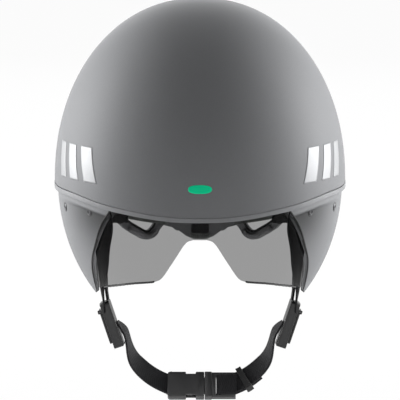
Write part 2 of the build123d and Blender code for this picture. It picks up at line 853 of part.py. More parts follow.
def sleeve():
    """Straight channel at the end of a cradle arm, round the fit band's end; left-hand one."""
    wide = band_thickness / 2 + sleeve_gap
    tall = band_height / 2 + sleeve_gap
    body = block((-band_x - wide - sleeve_wall, sleeve_start_y, band_z - tall - sleeve_wall),
                 (-band_x + wide + sleeve_wall, sleeve_end_y, band_z + tall + sleeve_wall))
    slot = block((-band_x - wide, -far, band_z - tall),
                 (-band_x + wide, sleeve_end_y - sleeve_wall, band_z + tall))
    return body - slot


def cradle_frame():
    """Sleeves, arms and middle of the rear cradle in one moulding."""
    arm = ribbon(arm_frames(), arm_height, arm_thickness)
    arm = arm & block((-far, sleeve_end_y - sleeve_wall / 2, -far), (far, far, far))
    half = sleeve() + arm
    cradle = half + mirrored(half) + cradle_plate() - window_cut()
    return cradle - block((-far, housing_y, -far), (far, far, far))


def cradle_plate():
    """Winged plate in the middle of the cradle, in front of the dial housing."""
    right = [(x * housing_width / 2, dial_z + up * housing_height) for x, up in plate_shares]
    left = [(-x, z) for x, z in reversed(right)]
    face = make_face(Polyline(*right, *left, close=True))
    face = fillet(face.vertices(), magnet_seat)
    return Pos(0, housing_y, 0) * extrude(Plane.XZ * face, amount=plate_thickness)


def cradle_pads():
    """Soft pads on the inner face of the cradle's lobes; left-hand one."""
    frames = arm_frames()[pad_sections]
    offset = -(arm_thickness + cradle_pad_thickness) / 2 - layer_gap
    pad_strip = ribbon(frames, arm_height, cradle_pad_thickness, offset)
    return pad_strip - ribbon(arm_frames(), arm_height + layer_gap, arm_thickness + 2 * layer_gap)


def window_cut():
    """Cut for the window in front of the dial."""
    low_z = dial_z - window_z_below - window_height / 2
    return block((-window_width / 2, -far, low_z),
                 (window_width / 2, gear_space_y() + layer_gap, low_z + window_height))


def housing_block(y, depth):
    """Rounded block of the dial housing from a place along Y to the rear."""
    middle_z = dial_z + housing_rise
    body = block((-housing_width / 2, y, middle_z - housing_height / 2),
                 (housing_width / 2, y + depth, middle_z + housing_height / 2))
    return fillet(body.edges().filter_by(Axis.Y), divider_corner * 2)


def pitch_radius():
    """Radius at which the pinion meets the racks."""
    return pinion_teeth * pinion_module / 2


def rack_length():
    """Length of a rack's toothed bar."""
    return rack_teeth * pi * pinion_module


def gear_space_y():
    """Front of the space for the pinion and racks."""
    return housing_y + housing_depth - pinion_width - rack_clearance


def dial_housing():
    """Front half of the dial housing, with a window and the space for the racks."""
    body = housing_block(housing_y, housing_depth)
    body -= gear_space()
    body -= window_cut()
    for place in housing_screw_places():
        body -= y_disc((place[0], housing_y + housing_depth - magnet_seat * 2, place[1]),
                       housing_screw_radius + hole_clearance, far)
    return body


def gear_space():
    """Space for the pinion and both racks."""
    pitch = pitch_radius()
    reach = pitch + pinion_module + rack_back + rack_clearance
    start = gear_space_y()
    stroke = housing_width
    racks = block((-stroke, start, dial_z - reach), (stroke, housing_y + housing_depth, dial_z + reach))
    return racks


def housing_screw_places():
    """Places of the housing screws."""
    top = dial_z + housing_rise + housing_height / 2 - housing_screw_head_radius * 1.4
    return [(-housing_screw_x, top), (housing_screw_x, top)]


def housing_cover():
    """Rear half of the dial housing, with the hole for the dial's shaft."""
    y = housing_y + housing_depth
    body = housing_block(y + layer_gap, housing_cover_depth)
    body -= y_disc((0, y - far / 2, dial_z), shaft_radius + shaft_clearance, far)
    for x, z in housing_screw_places():
        body -= y_disc((x, y - far / 2, z), housing_screw_radius + hole_clearance, far)
        body -= y_disc((x, y + layer_gap + housing_cover_depth - housing_screw_head, z),
                       housing_screw_head_radius + hole_clearance, far)
    return body


def housing_screws():
    """Screws that hold the two halves of the dial housing together."""
    back = housing_y + housing_depth + layer_gap + housing_cover_depth
    screws = []
    for x, z in housing_screw_places():
        start = housing_y + housing_depth - magnet_seat * 2
        shank = y_disc((x, start, z), housing_screw_radius, back - housing_screw_head - start)
        head = y_disc((x, back - housing_screw_head, z), housing_screw_head_radius, housing_screw_head)
        screws.append(shank + head)
    return screws


def knob_y():
    """Front face of the dial knob."""
    return housing_y + housing_depth + layer_gap + housing_cover_depth + knob_gap


def dial_knob():
    """Ribbed knob with its shaft."""
    knob = y_disc((0, knob_y(), dial_z), knob_radius, knob_depth)
    knob = fillet(knob.edges().sort_by(Axis.Y)[-1:], magnet_seat)
    for step in range(knob_groove_count):
        turn = 2 * pi * step / knob_groove_count
        place = (knob_radius * sin(turn), knob_y() - layer_gap, dial_z + knob_radius * cos(turn))
        knob -= y_disc(place, knob_groove_radius, knob_depth + knob_gap)
    knob -= y_disc((0, knob_y() + knob_depth - knob_dish_depth, dial_z), knob_dish_radius, far)
    start = gear_space_y() + rack_clearance
    shaft = y_disc((0, start, dial_z), shaft_radius, knob_y() - start)
    return knob + shaft - y_disc((0, -far / 2, dial_z), dial_screw_radius + hole_clearance, far)


def dial_screw():
    """Screw through the middle of the knob."""
    start = gear_space_y() + rack_clearance
    seat = knob_y() + knob_depth - knob_dish_depth
    shank = y_disc((0, start, dial_z), dial_screw_radius, seat - start)
    return shank + y_disc((0, seat, dial_z), dial_screw_head_radius, dial_screw_head)


def drive_pinion():
    """Small gear on the dial's shaft between the racks."""
    pitch = pitch_radius()
    tooth = pi * pinion_module / 2 - tooth_backlash
    gear = Circle(pitch - pinion_module)
    for step in range(pinion_teeth):
        turn = 360 * step / pinion_teeth
        points = ((0, -tooth * 0.62), (pitch, -tooth / 2), (pitch + pinion_module * 0.8, -tooth * 0.22),
                  (pitch + pinion_module * 0.8, tooth * 0.22), (pitch, tooth / 2), (0, tooth * 0.62))
        gear += Rot(0, 0, turn + 90) * make_face(Polyline(*points, close=True))
    seat = Plane(origin=(0, gear_space_y() + rack_clearance, dial_z), x_dir=(1, 0, 0), z_dir=(0, 1, 0))
    body = seat * extrude(gear, pinion_width - rack_clearance)
    return body - y_disc((0, -far / 2, dial_z), shaft_radius + hole_clearance, far)


def rack(hand):
    """Toothed bar above (hand 1) or below (hand -1) the pinion."""
    pitch = pitch_radius()
    step_length = pi * pinion_module
    tooth = step_length / 2 - tooth_backlash
    root = pitch + pinion_module
    start = gear_space_y() + rack_clearance
    half = rack_length() / 2
    bar = make_face(Polyline((-half, root), (half, root), (half, root + rack_back), (-half, root + rack_back),
                             close=True))
    for step in range(rack_teeth):
        middle = (step - (rack_teeth - 1) / 2) * step_length
        tip = pitch - pinion_module * 0.8
        points = ((middle - tooth * 0.62, root), (middle - tooth / 2, pitch), (middle - tooth * 0.25, tip),
                  (middle + tooth * 0.25, tip), (middle + tooth / 2, pitch), (middle + tooth * 0.62, root))
        bar += make_face(Polyline(*points, close=True))
    seat = Plane(origin=(0, start, dial_z), x_dir=(1, 0, 0), z_dir=(0, -1, 0))
    body = seat * extrude(bar, -(pinion_width - rack_clearance))
    if hand < 0:
        body = mirror(body, about=Plane(origin=(0, 0, dial_z), z_dir=(0, 0, 1)))
    return body


def pad(outline_prism):
    """Soft pad on the inner face of the liner, inside a prism."""
    wall = head_form(pad_gap) - head_form(pad_gap + pad_thickness, shell_wall)
    return wall & outline_prism


def brow_pad():
    """Pad across the forehead."""
    face = RectangleRounded(2 * brow_half_span, brow_height, pad_corner)
    prism = Pos(0, 0, brow_low_z + brow_height / 2) * extrude(Plane.XZ * face, amount=far)
    return pad(prism)


def side_pads():
    """Pads at the sides of the head, left one."""
    face = RectangleRounded(side_pad_length, side_pad_height, pad_corner)
    prism = Pos(0, side_pad_y, side_pad_z) * extrude(Plane.YZ * face, amount=-far)
    return pad(prism)


def crown_pads():
    """Three pads along the top of the head."""
    pads = []
    for step in (-1, 0, 1):
        length = crown_pad_length * (1 - abs(step) * pad_corner / crown_pad_width)
        face = RectangleRounded(crown_pad_width, length, pad_corner)
        prism = Pos(step * crown_pad_pitch, centre_y, widest_z) * extrude(face, far)
        pads.append(pad(prism & block((-far, -far, widest_z + crown_pad_pitch), (far, far, far))))
    return pads


def foam_liner(cuts):
    """Foam body between the shell and the head, with air channels to the tail and seats for its fittings."""
    inside = outer_form(shell_wall + layer_gap) & above_edge()
    lip = outer_form(shell_wall + layer_gap + rim_wall + layer_gap) & above_edge(liner_lip)
    body = inside + lip
    body = body & block((-far, -far, -far), (far, panel_front() - layer_gap, far))
    body -= head_form(0)
    for step in (-1, 0, 1):
        section = RectangleRounded(channel_width, channel_height, pad_corner * 0.6)
        tube = extrude(Plane.XZ * section, amount=-far)
        body -= Pos(step * channel_pitch, 0, channel_z) * tube
    for cut in cuts:
        body -= cut
    return body


def flat_solids(parts):
    """All solids in nested lists of shapes."""
    solids = []
    for part in parts:
        if isinstance(part, (list, tuple)) and not hasattr(part, "wrapped"):
            solids += flat_solids(part)
        else:
            solids += list(part.solids())
    return solids


def write(name, *parts):
    """Write one node."""
    solids = flat_solids(parts)
    shape = solids[0] if len(solids) == 1 else Compound(children=solids)
    export_step(shape, os.path.join("parts", name + ".step"))


def main():
    """Build and write every node."""
    os.makedirs("parts", exist_ok=True)
    tabs = cover_tabs()
    straps = (("strap_front", front_strap_frames()), ("strap_rear", rear_strap_frames()))
    plugs = [anchor_plug(frames) for name, frames in straps]
    anchor_tab = band_anchor()
    brackets = visor_brackets()
    cuts = tabs + [mirrored(tab) for tab in tabs] + plugs + [mirrored(plug) for plug in plugs] + brackets
    cuts += [anchor_tab, mirrored(anchor_tab)]
    write("outer_shell", outer_shell())
    write("shell_lower_rim", shell_lower_rim())
    write("foam_liner", foam_liner(cuts))
    write("tail_panel", tail_panel())
    cover = ear_cover()
    write("ear_cover_left", cover)
    write("ear_cover_right", mirrored(cover))
    seal = cover_edge_seal()
    write("cover_seal_left", seal)
    write("cover_seal_right", mirrored(seal))
    write("cover_tabs", tabs, [mirrored(tab) for tab in tabs])
    screws = [screw_solid(*place) for place in cover_screw_places()]
    write("cover_screws", screws, [mirrored(screw) for screw in screws])
    write("visor_lens", visor_lens())
    write("visor_magnets", visor_magnets())
    write("visor_magnet_holders", visor_magnet_holders())
    write("visor_brackets", brackets)
    write("bracket_magnets", bracket_magnets())
    write("brow_pad", brow_pad())
    side = side_pads()
    write("side_pads", side, mirrored(side))
    write("crown_pads", crown_pads())
    write("strap_anchors", plugs, [mirrored(plug) for plug in plugs])
    for name, frames in straps:
        strap = upper_strap(frames)
        write(name + "_left", strap)
        write(name + "_right", mirrored(strap))
    plane = divider_plane()
    for name, shape in (("divider", divider_body()), ("divider_lever", divider_lever())):
        placed = plane * shape
        write(name + "_left", placed)
        write(name + "_right", mirrored(placed))
    pin = plane * lever_pin(lever_pin_radius)
    write("divider_pins", pin, mirrored(pin))
    write("chin_strap_left", chin_strap(mouth_x - female_length))
    write("chin_strap_right", mirrored(chin_strap(-male_end())))
    buckle = buckle_plane()
    write("buckle_female", buckle * buckle_female())
    write("buckle_male", buckle * buckle_male())
    write("strap_tail", strap_tail())
    write("keeper_ring", keeper_ring())
    write("band_anchors", anchor_tab, mirrored(anchor_tab))
    rivet = pivot_pin()
    write("pivot_pins", rivet, mirrored(rivet))
    band = fit_band()
    write("fit_band_left", band)
    write("fit_band_right", mirrored(band))
    write("cradle_frame", cradle_frame())
    lobe = cradle_pads()
    write("cradle_pads", lobe, mirrored(lobe))
    write("dial_housing", dial_housing())
    write("dial_housing_cover", housing_cover())
    write("housing_screws", housing_screws())
    write("dial_knob", dial_knob())
    write("drive_pinion", drive_pinion())
    write("dial_screw", dial_screw())
    write("rack_left", rack(1))
    write("rack_right", rack(-1))


main()
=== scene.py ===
"""Looks of an aero time trial helmet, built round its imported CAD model.

Every new surface is worked out with numpy from the same form as the CAD part, in metres: the front is towards
-Y, the left of the picture is towards -X and up is +Z.
"""
from __future__ import annotations

import logging
import math
from collections.abc import Sequence
from dataclasses import dataclass, field
from enum import Enum

import bmesh
import bpy
import numpy as np
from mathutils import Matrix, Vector

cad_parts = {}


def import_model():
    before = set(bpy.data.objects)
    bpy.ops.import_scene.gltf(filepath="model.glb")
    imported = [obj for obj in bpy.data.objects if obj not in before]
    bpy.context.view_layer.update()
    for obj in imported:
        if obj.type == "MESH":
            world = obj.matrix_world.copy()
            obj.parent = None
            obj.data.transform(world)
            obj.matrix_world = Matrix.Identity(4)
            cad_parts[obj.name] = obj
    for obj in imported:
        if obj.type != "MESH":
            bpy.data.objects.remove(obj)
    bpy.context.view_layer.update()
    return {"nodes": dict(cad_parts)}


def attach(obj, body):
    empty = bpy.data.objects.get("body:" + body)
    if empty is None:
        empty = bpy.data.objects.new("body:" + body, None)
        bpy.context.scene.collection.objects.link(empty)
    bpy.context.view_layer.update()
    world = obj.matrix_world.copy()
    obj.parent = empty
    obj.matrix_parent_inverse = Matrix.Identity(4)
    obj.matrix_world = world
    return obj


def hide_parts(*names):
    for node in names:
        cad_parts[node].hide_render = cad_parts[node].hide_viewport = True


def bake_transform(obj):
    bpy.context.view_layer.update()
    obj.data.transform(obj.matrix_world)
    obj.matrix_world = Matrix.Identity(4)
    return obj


LOG = logging.getLogger("helmet")
MM = 0.001
DOUBLES = 1e-7
SLIVERS = 1e-8
NOTHING = 1e-9
SHARP_TURN = math.radians(50)
EDGE_ROUNDS = 12
LEAST_LENGTH = 1e-12
FRONT_TURN = math.pi * 1.5
CELLS = 1000
BODY_HELMET = "helmet"
BODY_VISOR = "visor"
BODY_PLUG = "buckle_plug"
BODY_CRADLE = "cradle"


class Side(Enum):
    """A hand of the helmet, by the sign of X."""

    LEFT = -1
    RIGHT = 1

    @property
    def hand(self) -> str:
        """The hand as it stands in the pieces' names."""
        return self.name.lower()


def linear(hex_code: str) -> tuple[float, float, float, float]:
    """Turn an sRGB hex value to a linear colour.

    Args:
        hex_code: Six hex digits, with or without a leading hash.

    Returns:
        Red, green, blue and alpha, from 0 to 1.
    """
    digits = hex_code.lstrip("#")
    parts = [int(digits[i:i + 2], 16) / 255 for i in (0, 2, 4)]
    flat = [p / 12.92 if p <= 0.04045 else ((p + 0.055) / 1.055) ** 2.4 for p in parts]
    return flat[0], flat[1], flat[2], 1.0


def smooth_line(points: Sequence[Sequence[float]], count: int) -> np.ndarray:
    """Draw a smooth line through points.

    Formula: a natural cubic spline whose parameter is the summed length of the straight runs between the
    points; its second derivatives solve one linear system and are zero at both ends.

    Args:
        points: Points of any dimension.
        count: How many points the line gets.

    Returns:
        Array of count points.
    """
    knots = np.asarray(points, float)
    runs = np.linalg.norm(np.diff(knots, axis=0), axis=1)
    station = np.concatenate([[0.0], np.cumsum(runs)])
    size = len(knots)
    system = np.eye(size)
    right = np.zeros_like(knots)
    inner = np.arange(1, size - 1)
    system[inner, inner - 1] = runs[:-1]
    system[inner, inner] = 2 * (runs[:-1] + runs[1:])
    system[inner, inner + 1] = runs[1:]
    slope = np.diff(knots, axis=0) / runs[:, None]
    right[1:-1] = 6 * np.diff(slope, axis=0)
    bend = np.linalg.solve(system, right)
    place = np.linspace(0, station[-1], count)
    step = np.clip(np.searchsorted(station, place, side="right") - 1, 0, size - 2)
    run = runs[step][:, None]
    ahead = (place - station[step])[:, None] / run
    behind = 1 - ahead
    curved = (behind ** 3 - behind) * bend[step] + (ahead ** 3 - ahead) * bend[step + 1]
    return behind * knots[step] + ahead * knots[step + 1] + curved * run ** 2 / 6


def unit(vectors: np.ndarray) -> np.ndarray:
    """Scale vectors along the last axis to length 1."""
    return vectors / np.maximum(np.linalg.norm(vectors, axis=-1, keepdims=True), LEAST_LENGTH)


def run_length(line: np.ndarray) -> np.ndarray:
    """Length along a line up to each of its points."""
    return np.concatenate([[0.0], np.cumsum(np.linalg.norm(np.diff(line, axis=0), axis=1))])


def read_off(place: np.ndarray, known: np.ndarray, values: np.ndarray) -> np.ndarray:
    """Interpolate every column of the values, known at some places, at other places."""
    return np.stack([np.interp(place, known, column) for column in values.T], axis=-1)


def eased(share: np.ndarray) -> np.ndarray:
    """Share from 0 to 1 with a soft start and end: share^2 * (3 - 2 * share)."""
    return share * share * (3 - 2 * share)


def shares_to_side(shares: Sequence[Sequence[float]]) -> np.ndarray:
    """Side view points from shares of the front reach and the crown's height."""
    return np.asarray(shares, float) * np.array([FORM.front_reach, FORM.crown_z])


@dataclass(frozen=True)
class HelmetForm:
    """The helmet's outer form.

    Formula: every level outline is a superellipse, |x/w|^n + |(y-c)/reach|^n = 1, with one reach to the
    front and one to the rear. Above the widest outline, with r the share of the way up to the crown, w and
    the front reach shrink by (1 - r^m)^(1/m) and the rear reach by sqrt(1 - r^2). Below it w and the front
    reach shrink as a circle does, and the rear reach shrinks with the square of the depth. A straight skirt
    doesn't shrink.
    """

    half_width: float = 103.0 * MM
    widest_z: float = 14.0 * MM
    crown_z: float = 141.0 * MM
    front_reach: float = 123.0 * MM
    rear_reach: float = 172.0 * MM
    centre_y: float = 5.0 * MM
    tail_y: float = 158.0 * MM
    skirt_curve: float = 119.0 * MM
    skirt_depth: float = 82.0 * MM
    skirt_rear_reach: float = 115.0 * MM
    power: float = 2.2
    dome_power: float = 2.1
    straight_skirt: bool = False
    halvings: int = 40

    def reaches(self, z: np.ndarray, inset: float) -> tuple[np.ndarray, np.ndarray, np.ndarray]:
        """Half width, front reach and rear reach of the level outline at each height.

        Args:
            z: Heights.
            inset: How far the form is drawn in.

        Returns:
            Three arrays shaped like z.
        """
        rise = np.clip((z - self.widest_z) / (self.crown_z - inset - self.widest_z), 0, 1)
        draw = (1 - rise ** self.dome_power) ** (1 / self.dome_power)
        rear = (self.rear_reach - inset) * np.sqrt(1 - rise ** 2)
        depth = np.clip(self.widest_z - z, 0, None)
        if not self.straight_skirt:
            draw = draw * np.sqrt(np.clip(1 - (depth / self.skirt_curve) ** 2, 0, 1))
            rear = rear + (self.skirt_rear_reach - self.rear_reach) * (depth / self.skirt_depth) ** 2
        return (self.half_width - inset) * draw, (self.front_reach - inset) * draw, rear

    def at_turn(self, turn: np.ndarray, z: np.ndarray, inset: float) -> np.ndarray:
        """Points of the form by turn round it; turn 180 degrees is the left side and 270 the front."""
        width, front, rear = self.reaches(z, inset)
        across = np.sign(np.cos(turn)) * np.abs(np.cos(turn)) ** (2 / self.power)
        along = np.sign(np.sin(turn)) * np.abs(np.sin(turn)) ** (2 / self.power)
        reach = np.where(along > 0, rear, front)
        return np.stack([width * across, self.centre_y + reach * along, z + 0 * turn], axis=-1)

    def half_breadth(self, y: np.ndarray, z: np.ndarray, inset: float) -> np.ndarray:
        """Distance of the form's side from the middle plane at places in the side view."""
        width, front, rear = self.reaches(z, inset)
        reach = np.where(y > self.centre_y, rear, front)
        share = np.clip(np.abs(y - self.centre_y) / np.maximum(reach, NOTHING), 0, 1)
        return width * (1 - share ** self.power) ** (1 / self.power)

    def front_y(self, x: np.ndarray, z: np.ndarray, inset: float) -> np.ndarray:
        """Y of the form's front at places in the front view."""
        width, front, _ = self.reaches(z, inset)
        share = np.clip(np.abs(x) / np.maximum(width, NOTHING), 0, 1)
        return self.centre_y - front * (1 - share ** self.power) ** (1 / self.power)

    def top_z(self, x: np.ndarray, y: np.ndarray, inset: float) -> np.ndarray:
        """Height of the form above places on the ground plane, found by halving steps between its rims."""
        low = np.full(np.broadcast(x, y).shape, self.widest_z)
        high = np.full_like(low, self.crown_z - inset)
        for _ in range(self.halvings):
            middle = (low + high) / 2
            inside = self.half_breadth(y + 0 * middle, middle, inset) > np.abs(x)
            low = np.where(inside, middle, low)
            high = np.where(inside, high, middle)
        return low


FORM = HelmetForm()
HEAD = HelmetForm(half_width=82.0 * MM, crown_z=117.0 * MM, front_reach=102.0 * MM, rear_reach=100.0 * MM,
                  straight_skirt=True)

EDGE = smooth_line(shares_to_side(((-1.10, -0.020), (-0.951, 0.014), (-0.87, 0.040), (-0.775, 0.058),
                                   (-0.61, 0.083), (-0.285, 0.090), (0.16, 0.091), (0.65, 0.070),
                                   (1.06, 0.030), (1.50, 0.004))), 600)
COVER_FRONT = smooth_line(shares_to_side(((-0.800, 0.110), (-0.762, 0.023), (-0.726, -0.019),
                                          (-0.683, -0.073), (-0.616, -0.156), (-0.546, -0.223),
                                          (-0.453, -0.311), (-0.370, -0.380), (-0.300, -0.424))), 300)
COVER_BOTTOM = smooth_line(shares_to_side(((-0.300, -0.424), (-0.150, -0.462), (0.060, -0.474),
                                           (0.310, -0.437), (0.620, -0.325), (0.900, -0.165),
                                           (1.120, -0.020), (1.160, 0.110))), 400)


def edge_z(y: np.ndarray, drop: float) -> np.ndarray:
    """Height of the shell's edge line at places along Y, moved down by drop."""
    return np.interp(y, EDGE[:, 0], EDGE[:, 1]) - drop


def edge_on_turn(turn: np.ndarray, inset: float, drop: float) -> np.ndarray:
    """Height at which each column of the form crosses the edge line.

    Formula: start at the widest outline and put the height of the edge line at the point's own Y back in,
    over and over.
    """
    z = np.full_like(turn, FORM.widest_z)
    for _ in range(EDGE_ROUNDS):
        z = edge_z(FORM.at_turn(turn, z, inset)[..., 1], drop)
    return z


def mesh_piece(name: str, points: np.ndarray, faces: np.ndarray,
               uv: np.ndarray | None = None) -> bpy.types.Object:
    """Make an object from arrays.

    Args:
        name: Name of the piece.
        points: Array of N points.
        faces: Array of M quads, as indices.
        uv: Array of N texture places in metres, or None.

    Returns:
        The object, linked, at the origin, with merged doubles and smooth faces.
    """
    mesh = bpy.data.meshes.new(name)
    mesh.from_pydata(points.reshape(-1, 3), [], faces)
    if uv is not None:
        layer = mesh.uv_layers.new(name="cloth")
        index = np.zeros(len(mesh.loops), int)
        mesh.loops.foreach_get("vertex_index", index)
        layer.data.foreach_set("uv", uv.reshape(-1, 2)[index].astype(np.float32).ravel())
    body = bmesh.new()
    body.from_mesh(mesh)
    bmesh.ops.remove_doubles(body, verts=body.verts, dist=DOUBLES)
    bmesh.ops.dissolve_degenerate(body, edges=body.edges, dist=SLIVERS)
    body.to_mesh(mesh)
    body.free()
    mesh.polygons.foreach_set("use_smooth", np.ones(len(mesh.polygons), bool))
    piece = bpy.data.objects.new(name, mesh)
    bpy.context.scene.collection.objects.link(piece)
    return piece


def grid_faces(rows: int, columns: int, closed: bool = False) -> np.ndarray:
    """Quads of a grid whose points are numbered row by row; closed joins the last column to the first."""
    index = np.arange(rows * columns).reshape(rows, columns)
    if closed:
        index = np.concatenate([index, index[:, :1]], axis=1)
    return np.stack([index[:-1, :-1], index[:-1, 1:], index[1:, 1:], index[1:, :-1]], axis=-1).reshape(-1, 4)


def grid_uv(grid: np.ndarray) -> np.ndarray:
    """Texture places of a grid: summed lengths along the middle row and down the middle column, in metres."""
    rows, columns = grid.shape[:2]
    along = np.linalg.norm(np.diff(grid[rows // 2], axis=0), axis=1)
    down = np.linalg.norm(np.diff(grid[:, columns // 2], axis=0), axis=1)
    u = np.concatenate([[0.0], np.cumsum(along)])
    v = np.concatenate([[0.0], np.cumsum(down)])
    return np.stack(np.meshgrid(u, v), axis=-1)


def sheet_piece(name: str, grid: np.ndarray, outward: Sequence[float]) -> bpy.types.Object:
    """Single surface from a grid of points, with its faces turned towards a direction at its middle.

    Args:
        name: Name of the piece.
        grid: Array of rows by columns by 3.
        outward: Direction that the middle face has to look at.

    Returns:
        The object.
    """
    rows, columns = grid.shape[:2]
    faces = grid_faces(rows, columns)
    middle = grid.reshape(-1, 3)[faces[len(faces) // 2 + columns // 3]]
    normal = np.cross(middle[2] - middle[0], middle[3] - middle[1])
    if normal @ np.asarray(outward, float) < 0:
        faces = faces[:, ::-1]
    return mesh_piece(name, grid, faces, grid_uv(grid))


def wall(piece: bpy.types.Object, thickness: float, rounding: float, segments: int = 3) -> bpy.types.Object:
    """Give a single surface a wall inwards and rounded rims.

    Args:
        piece: The surface, with its faces outwards.
        thickness: Wall thickness.
        rounding: Radius of the rim's edges.
        segments: Faces across each rounding.

    Returns:
        The same object.
    """
    solid = piece.modifiers.new("wall", "SOLIDIFY")
    solid.thickness = thickness
    solid.offset = -1.0
    solid.use_even_offset = True
    if rounding > 0:
        bevel = piece.modifiers.new("rounding", "BEVEL")
        bevel.width = rounding
        bevel.segments = segments
        bevel.limit_method = "ANGLE"
        bevel.angle_limit = SHARP_TURN
        bevel.harden_normals = True
    return piece


def rounded_profile(width: float, thickness: float, corner: float, count: int = 6) -> np.ndarray:
    """Closed section of a flat bar.

    Formula: four quarter circles of the corner radius joined by straight runs, run through anticlockwise.

    Args:
        width: Size across.
        thickness: Size through.
        corner: Radius of the corners.
        count: Points on each corner.

    Returns:
        Array of points (across, through).
    """
    turn = np.linspace(0, math.pi / 2, count)
    points = []
    for quarter, (a, b) in enumerate(((1, 1), (-1, 1), (-1, -1), (1, -1))):
        middle = np.array([a * (width / 2 - corner), b * (thickness / 2 - corner)])
        angle = turn + quarter * math.pi / 2
        points.append(middle + corner * np.stack([np.cos(angle), np.sin(angle)], axis=-1))
    return np.concatenate(points)


def carried(name: str, profile: np.ndarray, places: np.ndarray, across: np.ndarray,
            face: np.ndarray) -> bpy.types.Object:
    """Carry a closed profile along a path and close both ends.

    Formula: point = place + across * (profile's first number) + face * (its second).

    Args:
        name: Name of the piece.
        profile: Array of P points, or of N by P points where it changes along the path.
        places: Array of N points of the path.
        across: Array of N width directions.
        face: Array of N thickness directions.

    Returns:
        The object, with texture places in metres: along the path, and across the profile.
    """
    if profile.ndim == 2:
        profile = np.broadcast_to(profile, (len(places),) + profile.shape)
    grid = places[:, None] + across[:, None] * profile[..., :1] + face[:, None] * profile[..., 1:]
    stations, count = grid.shape[:2]
    length = run_length(places)
    uv = np.stack([np.broadcast_to(length[:, None], (stations, count)), profile[..., 0]], axis=-1)
    faces = grid_faces(stations, count, closed=True)
    ends = []
    for row, flipped in ((0, False), (stations - 1, True)):
        ring = row * count + np.arange(count)
        half = count // 2
        pairs = np.stack([ring[:half - 1], ring[1:half], ring[::-1][1:half], ring[::-1][:half - 1]], axis=-1)
        ends.append(pairs[:, ::-1] if flipped else pairs)
    piece = mesh_piece(name, grid, np.concatenate([faces] + ends), uv)
    outwards(piece)
    return piece


def turned(name: str, profile: np.ndarray, place: np.ndarray, axis: np.ndarray,
           count: int = 40) -> bpy.types.Object:
    """Turn an open profile round an axis into a closed form.

    Formula: point = place + axis * height + radius * (side * cos + up * sin), with side and up square to the
    axis.

    Args:
        name: Name of the piece.
        profile: Array of (radius, height) whose first and last radius are nearly zero.
        place: Where height 0 lies.
        axis: Direction of the height.
        count: Faces round the axis.

    Returns:
        The object.
    """
    axis = unit(axis)
    side = unit(np.cross(axis, np.array([0.0, 0.0, 1.0])))
    up = np.cross(axis, side)
    turn = np.linspace(0, math.tau, count, endpoint=False)
    ring = side * np.cos(turn)[:, None] + up * np.sin(turn)[:, None]
    grid = place + axis * profile[:, None, 1:] + ring[None] * profile[:, None, :1]
    piece = mesh_piece(name, grid, grid_faces(len(profile), count, closed=True))
    outwards(piece)
    return piece


def outwards(piece: bpy.types.Object) -> None:
    """Turn all faces of a closed mesh outwards."""
    body = bmesh.new()
    body.from_mesh(piece.data)
    bmesh.ops.recalc_face_normals(body, faces=body.faces)
    body.to_mesh(piece.data)
    body.free()


def mirrored(points: np.ndarray) -> np.ndarray:
    """Points on the other side of the middle plane."""
    return points * np.array([-1.0, 1.0, 1.0])


def on_side(points: np.ndarray, side: Side) -> np.ndarray:
    """Left-hand points as they are, or mirrored for the right-hand side."""
    return points if side is Side.LEFT else mirrored(points)


def add_node(tree: bpy.types.NodeTree, kind: str, links: dict | None = None,
             **settings: object) -> bpy.types.Node:
    """Add a shader node with its settings and inputs.

    Args:
        tree: Node tree.
        kind: Type name of the node.
        links: Input name or number to a socket to link or a value to set.
        settings: Properties of the node.

    Returns:
        The node.
    """
    node = tree.nodes.new(kind)
    for name, value in settings.items():
        setattr(node, name, value)
    for name, value in (links or {}).items():
        if isinstance(value, bpy.types.NodeSocket):
            tree.links.new(value, node.inputs[name])
        else:
            node.inputs[name].default_value = value
    return node


def sums(tree: bpy.types.NodeTree, operation: str, *values: object) -> bpy.types.NodeSocket:
    """Add a math node for one or two sockets or numbers and return its result."""
    return add_node(tree, "ShaderNodeMath", dict(enumerate(values)), operation=operation).outputs[0]


def wave(tree: bpy.types.NodeTree, source: bpy.types.NodeSocket, length_mm: float) -> bpy.types.NodeSocket:
    """Sine of a place in metres, with the length of one wave."""
    return sums(tree, "SINE", sums(tree, "MULTIPLY", source, math.tau / (length_mm * MM)))


def ramp(node: bpy.types.Node, stops: Sequence[tuple[float, Sequence[float]]]) -> bpy.types.Node:
    """Set the stops of a colour ramp: places from 0 to 1 and linear colours."""
    band = node.color_ramp
    while len(band.elements) < len(stops):
        band.elements.new(0.5)
    for element, (place, colour) in zip(band.elements, stops):
        element.position = place
        element.color = colour
    return node


def shade(colour: Sequence[float], factor: float) -> tuple[float, float, float, float]:
    """A linear colour made lighter or darker."""
    return colour[0] * factor, colour[1] * factor, colour[2] * factor, 1.0


